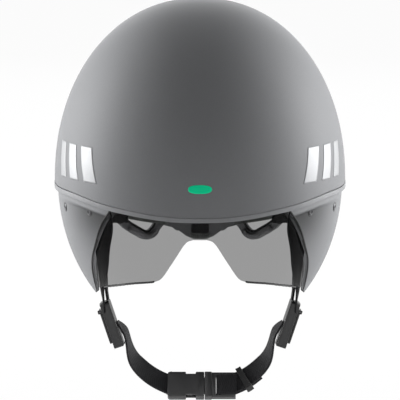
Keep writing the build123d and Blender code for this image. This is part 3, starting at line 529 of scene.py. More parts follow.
@dataclass(frozen=True)
class Finish:
    """What every surface finish has in common: a mottled colour, a fine relief and a gloss."""

    name: str
    colour: str
    roughness: float = 0.5
    metallic: float = 0.0
    ior: float = 1.5
    grain_mm: float = 0.5
    relief_mm: float = 0.01
    mottle: float = 0.06
    mottle_mm: float = 14.0
    sheen: float = 0.0
    specular: float = 0.5
    mottle_span: tuple[float, float] = (0.3, 0.7)
    roughness_spread: float = 0.08
    alpha: float = 1.0

    def start(self) -> tuple[bpy.types.Material, bpy.types.NodeTree, bpy.types.Node]:
        """Make the material with its shader and the sockets' constant values.

        Returns:
            The material, its tree and its Principled shader.
        """
        material = bpy.data.materials.new(self.name)
        material.use_nodes = True
        tree = material.node_tree
        shader = tree.nodes["Principled BSDF"]
        values = {"Base Color": linear(self.colour), "Metallic": self.metallic, "Roughness": self.roughness,
                  "Sheen Weight": self.sheen, "Specular IOR Level": self.specular, "Alpha": self.alpha}
        if self.metallic < 0.5:
            values["IOR"] = self.ior
        for key, value in values.items():
            shader.inputs[key].default_value = value
        return material, tree, shader

    def place(self, tree: bpy.types.NodeTree) -> bpy.types.NodeSocket:
        """Object coordinates in metres."""
        return add_node(tree, "ShaderNodeTexCoord").outputs["Object"]

    def tint(self, tree: bpy.types.NodeTree, shader: bpy.types.Node, amount: bpy.types.NodeSocket,
             *stops: tuple[float, float]) -> bpy.types.NodeSocket:
        """Colour the shader by an amount from 0 to 1.

        Args:
            tree: The material's tree.
            shader: Its Principled shader.
            amount: The amount.
            stops: Amounts, and the finish's lightness there as a share of its own.

        Returns:
            The colour.
        """
        base = linear(self.colour)
        colours = ramp(add_node(tree, "ShaderNodeValToRGB", {"Fac": amount}),
                       [(place, shade(base, factor)) for place, factor in stops])
        tree.links.new(colours.outputs["Color"], shader.inputs["Base Color"])
        return colours.outputs["Color"]

    def mottled(self, tree: bpy.types.NodeTree, shader: bpy.types.Node, where: bpy.types.NodeSocket) -> None:
        """Vary the colour and the roughness slowly over the surface."""
        noise = add_node(tree, "ShaderNodeTexNoise",
                         {"Vector": where, "Scale": CELLS / self.mottle_mm, "Detail": 4.0, "Roughness": 0.6})
        low, high = self.mottle_span
        self.tint(tree, shader, noise.outputs["Fac"], (low, 1 - self.mottle), (high, 1 + self.mottle))
        spread = add_node(tree, "ShaderNodeMapRange",
                          {"Value": noise.outputs["Fac"], "From Min": low, "From Max": high,
                           "To Min": self.roughness * (1 - self.roughness_spread),
                           "To Max": min(1.0, self.roughness * (1 + self.roughness_spread))})
        tree.links.new(spread.outputs["Result"], shader.inputs["Roughness"])

    def relief(self, tree: bpy.types.NodeTree, shader: bpy.types.Node, height: bpy.types.NodeSocket) -> None:
        """Use a height from 0 to 1 as a relief of the finish's depth."""
        bump = add_node(tree, "ShaderNodeBump", {"Height": height, "Strength": 1.0,
                                                 "Distance": self.relief_mm * MM})
        tree.links.new(bump.outputs["Normal"], shader.inputs["Normal"])

    def build(self) -> bpy.types.Material:
        """Make the finish: a slow mottle and a fine grain.

        Returns:
            The material.
        """
        material, tree, shader = self.start()
        where = self.place(tree)
        self.mottled(tree, shader, where)
        grain = add_node(tree, "ShaderNodeTexNoise",
                         {"Vector": where, "Scale": CELLS / self.grain_mm, "Detail": 3.0, "Roughness": 0.55})
        self.relief(tree, shader, grain.outputs["Fac"])
        return material


@dataclass(frozen=True)
class FlakePaint(Finish):
    """Matte grey paint with fine aluminium flake, sprayed on polycarbonate.

    The grey is even, its flake lifts the light towards the sides, and there is a slight orange peel. Where
    its darkening share is set, a point attribute darkens the colour as painted shade.
    """

    flake_mm: float = 0.35
    cloud_mm: float = 60.0
    peel_mm: float = 3.0
    # Share by which the colour darkens where the point attribute of the same name is 1: painted shade.
    painted_shade: float = 0.0

    def build(self) -> bpy.types.Material:
        """Make the paint: flake as small cells, painted shade as a darkening by a point attribute, and peel
        as a soft relief.

        Returns:
            The material.
        """
        material, tree, shader = self.start()
        where = self.place(tree)
        flakes = add_node(tree, "ShaderNodeTexVoronoi", {"Vector": where, "Scale": CELLS / self.flake_mm})
        grey = add_node(tree, "ShaderNodeSeparateColor", {"Color": flakes.outputs["Color"]}).outputs[0]
        cloud = add_node(tree, "ShaderNodeTexNoise",
                         {"Vector": where, "Scale": CELLS / self.cloud_mm, "Detail": 2.0}).outputs["Fac"]
        amount = sums(tree, "MULTIPLY", sums(tree, "ADD", grey, cloud), 0.5)
        colour = self.tint(tree, shader, amount, (0.1, 1 - self.mottle), (0.9, 1 + self.mottle))
        # Painted shade: the colour is multiplied down by the point attribute.
        if self.painted_shade:
            share = add_node(tree, "ShaderNodeAttribute", attribute_name="painted_shade").outputs["Fac"]
            left = add_node(tree, "ShaderNodeMapRange",
                            {"Value": share, "To Min": 1.0, "To Max": 1 - self.painted_shade})
            darker = add_node(tree, "ShaderNodeVectorMath", {0: colour, 1: left.outputs["Result"]},
                              operation="MULTIPLY")
            tree.links.new(darker.outputs[0], shader.inputs["Base Color"])
        peel = add_node(tree, "ShaderNodeTexNoise",
                        {"Vector": where, "Scale": CELLS / self.peel_mm, "Detail": 1.0})
        self.relief(tree, shader, peel.outputs["Fac"])
        return material


@dataclass(frozen=True)
class BeadFoam(Finish):
    """Expanded polystyrene, steam moulded from black beads with fine dark joints between them."""

    bead_mm: float = 3.2

    def build(self) -> bpy.types.Material:
        """Make the foam: one cell for each bead, its joints lower and darker.

        Returns:
            The material.
        """
        material, tree, shader = self.start()
        where = self.place(tree)
        joints = add_node(tree, "ShaderNodeTexVoronoi", {"Vector": where, "Scale": CELLS / self.bead_mm},
                          feature="DISTANCE_TO_EDGE")
        self.tint(tree, shader, joints.outputs["Distance"], (0.0, 0.45), (0.12, 1.0))
        height = add_node(tree, "ShaderNodeMapRange",
                          {"Value": joints.outputs["Distance"], "From Max": 0.2})
        self.relief(tree, shader, height.outputs["Result"])
        return material


@dataclass(frozen=True)
class Webbing(Finish):
    """Woven polyester webbing: a tight herringbone of ribs along the strap."""

    thread_mm: float = 1.1
    slant_share: float = 0.72

    def build(self) -> bpy.types.Material:
        """Make the weave from the strap's own texture places, first along it and then across it.

        Returns:
            The material.
        """
        material, tree, shader = self.start()
        uv = add_node(tree, "ShaderNodeUVMap", uv_map="cloth").outputs["UV"]
        split = add_node(tree, "ShaderNodeSeparateXYZ", {"Vector": uv})
        fold = sums(tree, "ABSOLUTE", split.outputs["Y"])
        slant = wave(tree, sums(tree, "ADD", fold, split.outputs["X"]), self.thread_mm / self.slant_share)
        both = sums(tree, "MULTIPLY", slant, wave(tree, fold, self.thread_mm))
        height = add_node(tree, "ShaderNodeMapRange", {"Value": both, "From Min": -1.0}).outputs["Result"]
        self.tint(tree, shader, height, (0.0, 0.7), (1.0, 1.3))
        self.relief(tree, shader, height)
        return material


@dataclass(frozen=True)
class KnitCover(Finish):
    """Warp-knitted polyester cover over foam: rows of small loops with a soft sheen."""

    loop_mm: float = 1.2

    def build(self) -> bpy.types.Material:
        """Make the knit from three crossed waves, one along each axis, so that it needs no texture places.

        Returns:
            The material.
        """
        material, tree, shader = self.start()
        where = self.place(tree)
        split = add_node(tree, "ShaderNodeSeparateXYZ", {"Vector": where})
        total = wave(tree, split.outputs["X"], self.loop_mm)
        for axis in ("Y", "Z"):
            total = sums(tree, "ADD", total, wave(tree, split.outputs[axis], self.loop_mm))
        height = add_node(tree, "ShaderNodeMapRange",
                          {"Value": total, "From Min": -2.0, "From Max": 2.0}).outputs["Result"]
        self.tint(tree, shader, height, (0.1, 0.6), (0.9, 1.35))
        self.relief(tree, shader, height)
        return material


PAINT = FlakePaint("matte_flake_paint", "#747577", roughness=0.62, metallic=0.05, specular=0.15,
                   relief_mm=0.004, mottle=0.05)
# Ear cover paint: the same grey, darkened towards the upper front corner under the brim as painted shade,
# over a real shallow dish.
COVER_PAINT_PAINTED_SHADE = FlakePaint("matte_flake_paint_faded", "#7A7B7D", roughness=0.62, metallic=0.05, specular=0.15,
                         relief_mm=0.004, mottle=0.05, painted_shade=0.80)
TRIM = Finish("moulded_grey_polycarbonate", "#7E7F81", roughness=0.5, specular=0.2, grain_mm=0.4,
              relief_mm=0.006)
FOAM = BeadFoam("black_bead_foam", "#1C1C1E", roughness=0.75, relief_mm=0.25)
NYLON = Finish("moulded_black_nylon", "#1F1F20", roughness=0.5, grain_mm=0.35, relief_mm=0.02)
ACETAL = Finish("moulded_dark_acetal", "#353536", roughness=0.5, grain_mm=0.35, relief_mm=0.02)
CRADLE = Finish("moulded_grey_elastomer", "#8C8D8F", roughness=0.55, grain_mm=0.4, relief_mm=0.015)
LENS = Finish("smoke_polycarbonate", "#060607", roughness=0.06, ior=1.585, alpha=0.44, specular=0.05,
              grain_mm=30.0, relief_mm=0.0005, mottle=0.02)
CLIP = Finish("moulded_grey_clip", "#A2A7A3", roughness=0.5, grain_mm=0.4, relief_mm=0.01)
RUBBER = Finish("black_edge_rubber", "#0F0F10", roughness=0.65, grain_mm=0.3, relief_mm=0.01)
STEEL = Finish("blackened_steel", "#4A4A4C", roughness=0.35, metallic=1.0, grain_mm=0.2, relief_mm=0.004)
MAGNET = Finish("nickel_plate", "#B9B7B0", roughness=0.22, metallic=1.0, grain_mm=0.6, relief_mm=0.002)
WEBBING = Webbing("polyester_webbing", "#131315", roughness=0.85, sheen=0.06, specular=0.25, relief_mm=0.08)
# The same webbing as the upper straps, painted lighter for the chin strap, its fold and its tail, which hang
# out of the shade behind the lens: painted light.
CHIN_WEBBING_PAINTED_LIGHT = Webbing("polyester_webbing_worn", "#2C2C2E", roughness=0.85, sheen=0.06, specular=0.25,
                       relief_mm=0.08)
LOBE = KnitCover("lobe_pad_cover", "#939395", roughness=0.85, sheen=0.2, relief_mm=0.08)
KNIT = KnitCover("knitted_pad_cover", "#222226", roughness=0.9, sheen=0.35, relief_mm=0.12)
SILVER = FlakePaint("silver_film", "#929395", roughness=0.4, metallic=0.15, specular=0.2, relief_mm=0.002,
                    mottle=0.04)
GREEN = Finish("green_film", "#00E6A4", roughness=0.5, specular=0.1, grain_mm=1.0, relief_mm=0.002,
               mottle=0.03)

CAD_FINISHES: tuple[tuple[Finish, tuple[str, ...]], ...] = (
    (FOAM, ("foam_liner",)),
    (NYLON, ("tail_panel", "cover_tabs", "visor_magnet_holders", "visor_brackets", "strap_anchors",
             "divider_left", "divider_right", "divider_lever_left", "divider_lever_right", "dial_knob",
             "drive_pinion")),
    (CRADLE, ("band_anchors", "fit_band_left", "fit_band_right", "cradle_frame", "dial_housing",
              "dial_housing_cover", "rack_left", "rack_right")),
    (RUBBER, ("keeper_ring",)),
    (ACETAL, ("buckle_female", "buckle_male")),
    (STEEL, ("divider_pins", "pivot_pins", "housing_screws", "dial_screw")),
    (MAGNET, ("visor_magnets", "bracket_magnets")),
)

ROUNDED_NODES_MM: dict[str, float] = {"divider_left": 0.5, "divider_right": 0.5, "divider_lever_left": 0.3,
                                      "divider_lever_right": 0.3, "buckle_female": 0.5, "buckle_male": 0.4,
                                      "keeper_ring": 0.25}
ROUNDED_TURN = math.radians(40)
SPLIT_TURN = math.radians(32)
NODE_WELD = 1e-6


class Wardrobe:
    """Finishes made once and shared."""

    def __init__(self) -> None:
        """Start with no finish made."""
        self.made: dict[str, bpy.types.Material] = {}

    def dress(self, piece: bpy.types.Object, finish: Finish) -> None:
        """Give a piece its finish as its only material."""
        if finish.name not in self.made:
            self.made[finish.name] = finish.build()
        piece.data.materials.clear()
        piece.data.materials.append(self.made[finish.name])


WARDROBE = Wardrobe()


def settle(piece: bpy.types.Object, finish: Finish, slot: str, body: str | None,
           *nodes: str) -> bpy.types.Object:
    """Dress a finished piece, fix it to its body and name the CAD nodes that it stands for.

    Args:
        piece: The piece.
        finish: Its finish.
        slot: Name of a material slot; not used.
        body: The CAD body that it moves with, or None to leave it fixed to no body.
        nodes: CAD nodes that it replaces.

    Returns:
        The piece.
    """
    WARDROBE.dress(piece, finish)
    if body is not None:
        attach(piece, body)
    if nodes:
        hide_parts(*nodes)
    LOG.info("piece %s on %s for %s", piece.name, body, ", ".join(nodes) or "no node")
    return piece


@dataclass
class Shell:
    """Smooth moulded skin with the narrow rim under its edge."""

    wall_mm: float = 2.0
    rim_inset_mm: float = 2.15
    rim_wall_mm: float = 2.5
    rim_height_mm: float = 3.5
    rim_gap_mm: float = 0.15
    rim_rear_y: float = 153.85 * MM
    rounding_mm: float = 0.9
    rounding_steps: int = 4
    rim_rounding_mm: float = 0.5
    front_stations: int = 70
    rear_stations: int = 70
    levels: int = 72
    belt_front: int = 90
    belt_rear: int = 70
    rim_rows: int = 6

    def stations(self) -> np.ndarray:
        """Surface from the front's middle line over the crown to the tail.

        Formula: each row runs from the left edge over the top to the right edge. In front a row is the two
        columns of the form at the same turn either side; behind it is the form's section at one Y. Heights go
        from the edge to the top as a sine of the share of the way, to the power 2/m.

        Returns:
            Array of rows by columns by 3.
        """
        share = np.sin(np.linspace(0, math.pi / 2, self.levels)) ** (2 / FORM.dome_power)
        turn = np.linspace(math.pi / 2, 0, self.front_stations)
        low = edge_on_turn(math.pi + turn, 0.0, 0.0)
        z = low[:, None] + (FORM.crown_z - low[:, None]) * share
        left = FORM.at_turn(math.pi + turn[:, None] + 0 * z, z, 0.0)
        y = np.linspace(FORM.centre_y, FORM.tail_y, self.rear_stations + 1)[1:]
        low = edge_z(y, 0.0)
        top = FORM.widest_z + (FORM.crown_z - FORM.widest_z) * np.sqrt(
            1 - ((y - FORM.centre_y) / FORM.rear_reach) ** 2)
        z = low[:, None] + (top - low)[:, None] * share
        wide = y[:, None] + 0 * z
        behind = np.stack([-FORM.half_breadth(wide, z, 0.0), wide, z], axis=-1)
        behind[:, -1, 0] = 0
        half = np.concatenate([left, behind])
        return np.concatenate([half, mirrored(half[:, ::-1])[:, 1:]], axis=1)

    def belt(self, inset: float, drop: float, rear_y: float) -> np.ndarray:
        """Line round the helmet at the edge line, moved down by drop, from the left rear over the front."""
        turn = np.linspace(math.pi, FRONT_TURN, self.belt_front)
        front = FORM.at_turn(turn, edge_on_turn(turn, inset, drop), inset)
        y = np.linspace(rear_y, FORM.centre_y, self.belt_rear)[:-1]
        z = edge_z(y, drop)
        rear = np.stack([-FORM.half_breadth(y, z, inset), y, z], axis=-1)
        half = np.concatenate([rear, front])
        return np.concatenate([half, mirrored(half[::-1])[1:]])

    def build(self) -> None:
        """Make the skin and the rim."""
        skin = sheet_piece("shell_skin", self.stations(), (0, 0, 1))
        wall(skin, self.wall_mm * MM, self.rounding_mm * MM, self.rounding_steps)
        settle(skin, PAINT, "outer_shell", BODY_HELMET, "outer_shell")
        inset = self.rim_inset_mm * MM
        drops = np.linspace(self.rim_gap_mm, self.rim_height_mm, self.rim_rows) * MM
        grid = np.stack([self.belt(inset, drop, self.rim_rear_y) for drop in drops])
        rim = sheet_piece("shell_rim", grid, (0, -1, 0))
        wall(rim, self.rim_wall_mm * MM, self.rim_rounding_mm * MM)
        settle(rim, TRIM, "trim_grey", BODY_HELMET, "shell_lower_rim")


@dataclass
class Markings:
    """Plain film on the shell: slanted bars on the sides and a pill on the forehead."""

    film_mm: float = 0.12
    bar_y_mm: tuple[float, ...] = (-90.0, -73.0, -56.0)
    bar_long_mm: float = 11.0
    bar_low_mm: float = 22.0
    bar_high_mm: float = 46.0
    bar_slant_mm: float = 8.0
    pill_half_long_mm: float = 8.0
    pill_half_high_mm: float = 3.0
    pill_z_mm: float = 22.0
    pill_power: float = 2.6
    bar_grid: tuple[int, int] = (26, 14)
    pill_grid: tuple[int, int] = (8, 64)

    def bar(self, y_mm: float, side: Side) -> np.ndarray:
        """Slanted bar: a parallelogram in the side view, laid on the form."""
        v, u = np.meshgrid(*(np.linspace(0, 1, count) for count in self.bar_grid), indexing="ij")
        z = (self.bar_low_mm + (self.bar_high_mm - self.bar_low_mm) * v) * MM
        y = (y_mm + self.bar_long_mm * u + self.bar_slant_mm * v) * MM
        x = -FORM.half_breadth(y, z, -self.film_mm * MM)
        return on_side(np.stack([x, y, z], axis=-1), side)

    def pill(self) -> np.ndarray:
        """Pill: a superellipse in the front view, laid on the form.

        Formula: rings from the middle outwards, each |x/a|^p + |z/b|^p = share^p.
        """
        rings, steps = self.pill_grid
        share, turn = np.meshgrid(np.linspace(0, 1, rings), np.linspace(0, math.tau, steps), indexing="ij")
        power = 2 / self.pill_power
        x = self.pill_half_long_mm * MM * share * np.sign(np.cos(turn)) * np.abs(np.cos(turn)) ** power
        z = self.pill_half_high_mm * MM * share * np.sign(np.sin(turn)) * np.abs(np.sin(turn)) ** power
        z = z + self.pill_z_mm * MM
        return np.stack([x, FORM.front_y(x, z, -self.film_mm * MM), z], axis=-1)

    def build(self) -> None:
        """Make the bars and the pill."""
        for side in Side:
            for number, y_mm in enumerate(self.bar_y_mm):
                bar = sheet_piece(f"side_bar_{side.hand}_{number + 1}", self.bar(y_mm, side),
                                  (side.value, 0, 0))
                settle(wall(bar, self.film_mm * MM, 0), SILVER, "outer_shell", BODY_HELMET)
        pill = sheet_piece("brow_pill", self.pill(), (0, -1, 0))
        settle(wall(pill, self.film_mm * MM, 0), GREEN, "outer_shell", BODY_HELMET)


@dataclass
class EarCovers:
    """Curved panels over the ears, each with a soft strip along its front edge."""

    inset_mm: float = 2.15
    wall_mm: float = 2.5
    top_drop_mm: float = 3.8
    seal_width_mm: float = 1.1
    seal_deep_mm: float = 3.0
    seal_thin_mm: float = 1.0
    seal_fade_z_mm: tuple[float, float] = (-36.0, -20.0)
    dish_mm: float = 2.2
    dish_y_mm: float = -84.0
    dish_long_mm: float = 30.0
    dish_high_mm: float = 27.0
    flange_mm: float = 3.6
    screw_shares: tuple[tuple[float, float], ...] = ((-0.612, 0.004), (-0.343, -0.004))
    screw_profile: tuple[tuple[float, float], ...] = (
        (0.01, -0.5), (1.1, -0.5), (1.2, 0.25), (1.4, 0.42), (1.9, 0.36), (2.3, 0.18), (2.55, -0.1),
        (2.6, -0.5), (2.6, -1.3), (0.01, -1.3))
    # Thin black ring round each screw head, standing for the shade in the gap round the head: painted shade.
    shade_ring_profile: tuple[tuple[float, float], ...] = (
        (2.7, -0.3), (2.75, 0.05), (3.0, 0.12), (3.3, 0.05), (3.35, -0.3), (2.7, -0.3))
    columns: int = 150
    rows: int = 64
    row_power: float = 1.25
    step_mm: float = 3.0
    slope_mm: float = 0.5
    rounding_mm: float = 0.6
    seal_corner_mm: float = 0.35
    seal_corner_points: int = 5

    def top_line(self) -> np.ndarray:
        """Side view line along the cover's top, from its front corner to its rear tip."""
        drop = self.top_drop_mm * MM
        front = COVER_FRONT[COVER_FRONT[:, 1] < edge_z(COVER_FRONT[:, 0], drop)][0]
        rear = COVER_BOTTOM[(COVER_BOTTOM[:, 1] < edge_z(COVER_BOTTOM[:, 0], drop)).nonzero()[0][-1]]
        y = np.linspace(front[0], rear[0], self.columns)
        return np.stack([y, edge_z(y, drop)], axis=-1)

    def lower_line(self, top: np.ndarray) -> np.ndarray:
        """Side view line down the front edge and along the bottom, with as many points as the top line."""
        joined = np.concatenate([COVER_FRONT[:-1], COVER_BOTTOM])
        keep = joined[(joined[:, 1] < edge_z(joined[:, 0], self.top_drop_mm * MM) + NOTHING)]
        line = np.concatenate([top[:1], keep, top[-1:]])
        run = run_length(line)
        return read_off(np.linspace(0, run[-1], self.columns), run, line)

    def panel(self, side: Side) -> np.ndarray:
        """Panel surface.

        Formula: straight runs in the side view between the top line and the lower line, and X from the form.
        Below the flange at the top the panel is pressed in most near its front corner, falling off as a bell
        curve along Y and with the depth below the flange.
        """
        top = self.top_line()
        low = self.lower_line(top)
        share = np.linspace(0, 1, self.rows)[:, None, None] ** self.row_power
        flat = top * (1 - share) + low * share
        y, z = flat[..., 0], flat[..., 1]
        x = -FORM.half_breadth(y, z, self.inset(y, z))
        return on_side(np.stack([x, y, z], axis=-1), side)

    def pressed(self, y: np.ndarray, z: np.ndarray) -> np.ndarray:
        """Share from 0 to 1 by which the panel is pressed in at places in the side view."""
        below = edge_z(y, (self.top_drop_mm + self.flange_mm) * MM) - z
        step = eased(np.clip(below / (self.step_mm * MM), 0, 1))
        along = np.exp(-((y - self.dish_y_mm * MM) / (self.dish_long_mm * MM)) ** 2)
        down = np.exp(-(np.clip(below, 0, None) / (self.dish_high_mm * MM)) ** 2)
        return step * along * down

    def inset(self, y: np.ndarray, z: np.ndarray) -> np.ndarray:
        """Inset of the panel's outer face at places in the side view."""
        return (self.inset_mm + self.dish_mm * self.pressed(y, z)) * MM

    def painted_shade(self, piece: bpy.types.Object) -> None:
        """Store the pressed-in share on the panel's points; the paint is darkened there as painted shade for
        the shadow under the brim.
        """
        co = points_of(piece)
        share = piece.data.attributes.new("painted_shade", "FLOAT", "POINT")
        share.data.foreach_set("value", self.pressed(co[:, 1], co[:, 2]).astype(np.float32))

    def screws(self, side: Side) -> None:
        """Make the button heads of one cover's screws, each with a thin black ring round it that stands for
        the shade in the gap round the head: painted shade.
        """
        hand = side.hand
        step = self.slope_mm * MM

        def breadth(y: np.ndarray, z: np.ndarray) -> np.ndarray:
            return FORM.half_breadth(y, z, self.inset_mm * MM)

        for number, (along, up) in enumerate(self.screw_shares, 1):
            y, z = np.array(along * FORM.front_reach), np.array(up * FORM.crown_z)
            x = FORM.half_breadth(y, z, self.inset(y, z))
            slope = (breadth(y + step, z) - breadth(y - step, z)) / (2 * step)
            lean = (breadth(y, z + step) - breadth(y, z - step)) / (2 * step)
            place = on_side(np.array([-x, y, z], float), side)
            axis = on_side(np.array([-1.0, -slope, -lean], float), side)
            head = turned(f"cover_bolt_{hand}_{number}", np.array(self.screw_profile) * MM, place, axis)
            first = side is Side.LEFT and number == 1
            settle(head, STEEL, "steel", BODY_HELMET, *(("cover_screws",) if first else ()))
            shade_ring = turned(f"cover_bolt_shade_ring_{hand}_{number}", np.array(self.shade_ring_profile) * MM, place, axis)
            settle(shade_ring, RUBBER, "seal_rubber", BODY_HELMET)

    def strip(self, side: Side) -> bpy.types.Object:
        """Soft strip on the panel's front edge, deep at the top and thinning out on its way down.

        Formula: a rounded section carried down the edge line on the form; its depth falls softly from one
        height to the other.
        """
        line = COVER_FRONT[COVER_FRONT[:, 1] < edge_z(COVER_FRONT[:, 0], self.top_drop_mm * MM)]
        inset = self.inset_mm * MM

        def surface(forward: float) -> np.ndarray:
            y, z = line[:, 0] - forward, line[:, 1]
            return np.stack([-FORM.half_breadth(y, z, inset), y, z], axis=-1)

        low, high = self.seal_fade_z_mm
        share = np.clip((line[:, 1] / MM - low) / (high - low), 0, 1)
        depth = (self.seal_thin_mm + (self.seal_deep_mm - self.seal_thin_mm) * eased(share)) * MM
        edge = surface(0.0)
        across = unit(surface(1.0 * MM) - edge)
        inward = np.cross(across, unit(np.gradient(edge, axis=0)))
        inward = inward * np.sign(inward[:, :1])
        width = self.seal_width_mm * MM
        corner = self.seal_corner_mm * MM
        profile = np.stack([rounded_profile(width, through, corner, self.seal_corner_points)
                            for through in depth])
        places = edge + across * width / 2 + inward * depth[:, None] / 2
        return carried(f"ear_panel_strip_{side.hand}", profile, on_side(places, side),
                       on_side(across, side), on_side(inward, side))

    def build(self) -> None:
        """Make both covers and their strips."""
        for side in Side:
            hand = side.hand
            cover = sheet_piece(f"ear_panel_{hand}", self.panel(side), (side.value, 0, 0))
            wall(cover, self.wall_mm * MM, self.rounding_mm * MM)
            self.painted_shade(cover)
            settle(cover, COVER_PAINT_PAINTED_SHADE, "outer_shell", BODY_HELMET, f"ear_cover_{hand}")
            settle(self.strip(side), RUBBER, "seal_rubber", BODY_HELMET, f"cover_seal_{hand}")
            self.screws(side)


@dataclass
class Visor:
    """Short tinted lens with a nose cut-out."""

    inset_mm: float = 4.2
    wall_mm: float = 2.0
    top_drop_mm: float = 4.1
    side_shift_mm: float = 2.1
    columns: int = 220
    rows: int = 60
    nose_top_z_mm: float = -13.4
    nose_top_half_mm: float = 8.6
    nose_bottom_half_mm: float = 27.4
    bead_from_mm: float = 31.0
    bead_to_mm: float = 66.0
    clip_from_mm: float = 23.0
    clip_to_mm: float = 49.0
    clip_inset_mm: float = 6.35
    clip_drops_mm: tuple[float, float] = (4.4, 8.6)
    half_shares: tuple[tuple[float, float], ...] = ((0.301, -0.318), (0.466, -0.340), (0.621, -0.377),
                                                    (0.700, -0.412), (0.760, -0.450))
    edge_step: float = 0.2 * MM
    mean_steps: int = 91
    cut_steps: int = 60
    past_corner: float = 4.0
    levels: int = 400
    over_edge: float = 20.0 * MM
    below_eyes: float = -5.0 * MM
    rounding_mm: float = 0.5
    bead_drop_mm: float = 0.2
    bead_section_mm: tuple[float, float, float] = (2.3, 1.1, 0.5)
    clip_grid: tuple[int, int] = (24, 8)
    clip_wall_mm: float = 1.2
    clip_rounding_mm: float = 0.3

    def lower_edge(self) -> np.ndarray:
        """Right half of the lens's lower edge in the front view, from the nose outwards, as (x, z).

        Formula: straight runs from the nose's top to its foot and along the bottom, rounded by a running
        mean.
        """
        bottom = np.array(self.half_shares) * np.array([FORM.half_width, FORM.crown_z])
        floor = bottom[0, 1]
        corners = np.concatenate([[[0.0, self.nose_top_z_mm * MM],
                                   [self.nose_top_half_mm * MM, self.nose_top_z_mm * MM],
                                   [self.nose_bottom_half_mm * MM, floor]], bottom,
                                  [bottom[-1] + (bottom[-1] - bottom[-2]) * self.past_corner]])
        run = run_length(corners)
        line = read_off(np.arange(0, run[-1], self.edge_step), run, corners)
        whole = np.concatenate([line[::-1] * [-1, 1], line[1:]])
        kernel = np.hanning(self.mean_steps)
        soft = np.stack([np.convolve(column, kernel / kernel.sum(), mode="same") for column in whole.T],
                        axis=-1)
        return soft[len(line) - 1:-self.cut_steps]

    def surface(self) -> np.ndarray:
        """Lens surface.

        Formula: at every height the lens spans the turns between its two side lines; a column keeps its
        share of that span from the top edge down to where it first meets the lower edge line.

        Returns:
            Array of rows by columns by 3.
        """
        inset = self.inset_mm * MM
        lower = self.lower_edge()
        front = COVER_FRONT[::-1]
        share = np.linspace(-1, 1, self.columns)
        depth = np.linspace(0, 1, self.levels)[:, None]
        z = edge_z(np.array(-FORM.front_reach), self.top_drop_mm * MM) + self.over_edge
        heights = z - depth * (z - lower[:, 1].min()) + 0 * share
        y_side = np.interp(heights, front[:, 1], front[:, 0]) - self.side_shift_mm * MM
        _, reach, _ = FORM.reaches(heights, inset)
        along = np.clip((FORM.centre_y - y_side) / reach, 0, 1) ** (FORM.power / 2)
        span = math.pi / 2 - np.arcsin(along)
        points = FORM.at_turn(FRONT_TURN + share * span, heights, inset)
        below_top = heights <= edge_z(points[..., 1], self.top_drop_mm * MM)
        above_low = heights >= np.interp(np.abs(points[..., 0]), lower[:, 0], lower[:, 1])
        first = np.argmax(below_top, axis=0)
        ended = (~above_low) & (heights < self.below_eyes)
        last = np.where(ended.any(axis=0), np.argmax(ended, axis=0), len(depth) - 1)
        rows = np.linspace(0, 1, self.rows)[:, None]
        index = first + (last - first) * rows
        low = np.clip(np.floor(index).astype(int), 0, len(depth) - 2)
        part = (index - low)[..., None]
        column = np.arange(self.columns)[None, :]
        return points[low, column] * (1 - part) + points[low + 1, column] * part

    def bead(self, edge: np.ndarray, side: Side) -> None:
        """Make the thin dark bead on one half of the lens's lower edge.

        Args:
            edge: Points of the lens's lower edge.
            side: Which half.
        """
        across = edge[:, 0] * side.value
        line = edge[(across > self.bead_from_mm * MM) & (across < self.bead_to_mm * MM)]
        line = line + np.array([0, self.wall_mm / 2, -self.bead_drop_mm]) * MM
        run = unit(np.gradient(line, axis=0))
        depth = unit(np.array([0.0, 1.0, 0.0]) - run * run[:, 1:2])
        section = rounded_profile(*(size * MM for size in self.bead_section_mm))
        piece = carried(f"lens_bead_{side.hand}", section, line, depth, np.cross(run, depth))
        settle(piece, RUBBER, "seal_rubber", BODY_VISOR)

    def clip(self, side: Side) -> None:
        """Make the grey clip behind the lens's top edge on one side, laid on the form behind the lens."""
        inset = self.clip_inset_mm * MM
        columns, drops = self.clip_grid
        x = np.linspace(self.clip_from_mm, self.clip_to_mm, columns) * MM
        rows = []
        for drop in np.linspace(*self.clip_drops_mm, drops) * MM:
            z = np.zeros_like(x)
            for _ in range(EDGE_ROUNDS):
                z = edge_z(FORM.front_y(x, z, inset), drop)
            rows.append(np.stack([-x, FORM.front_y(x, z, inset), z], axis=-1))
        clip = sheet_piece(f"lens_clip_{side.hand}", on_side(np.stack(rows), side), (0, -1, 0))
        wall(clip, self.clip_wall_mm * MM, self.clip_rounding_mm * MM)
        settle(clip, CLIP, "trim_grey", BODY_VISOR)

    def build(self) -> None:
        """Make the lens, its beads and its clips."""
        surface = self.surface()
        lens = sheet_piece("tinted_lens", surface, (0, -1, 0))
        wall(lens, self.wall_mm * MM, self.rounding_mm * MM, 2)
        settle(lens, LENS, "lens", BODY_VISOR, "visor_lens")
        for side in Side:
            self.bead(surface[-1], side)
            self.clip(side)


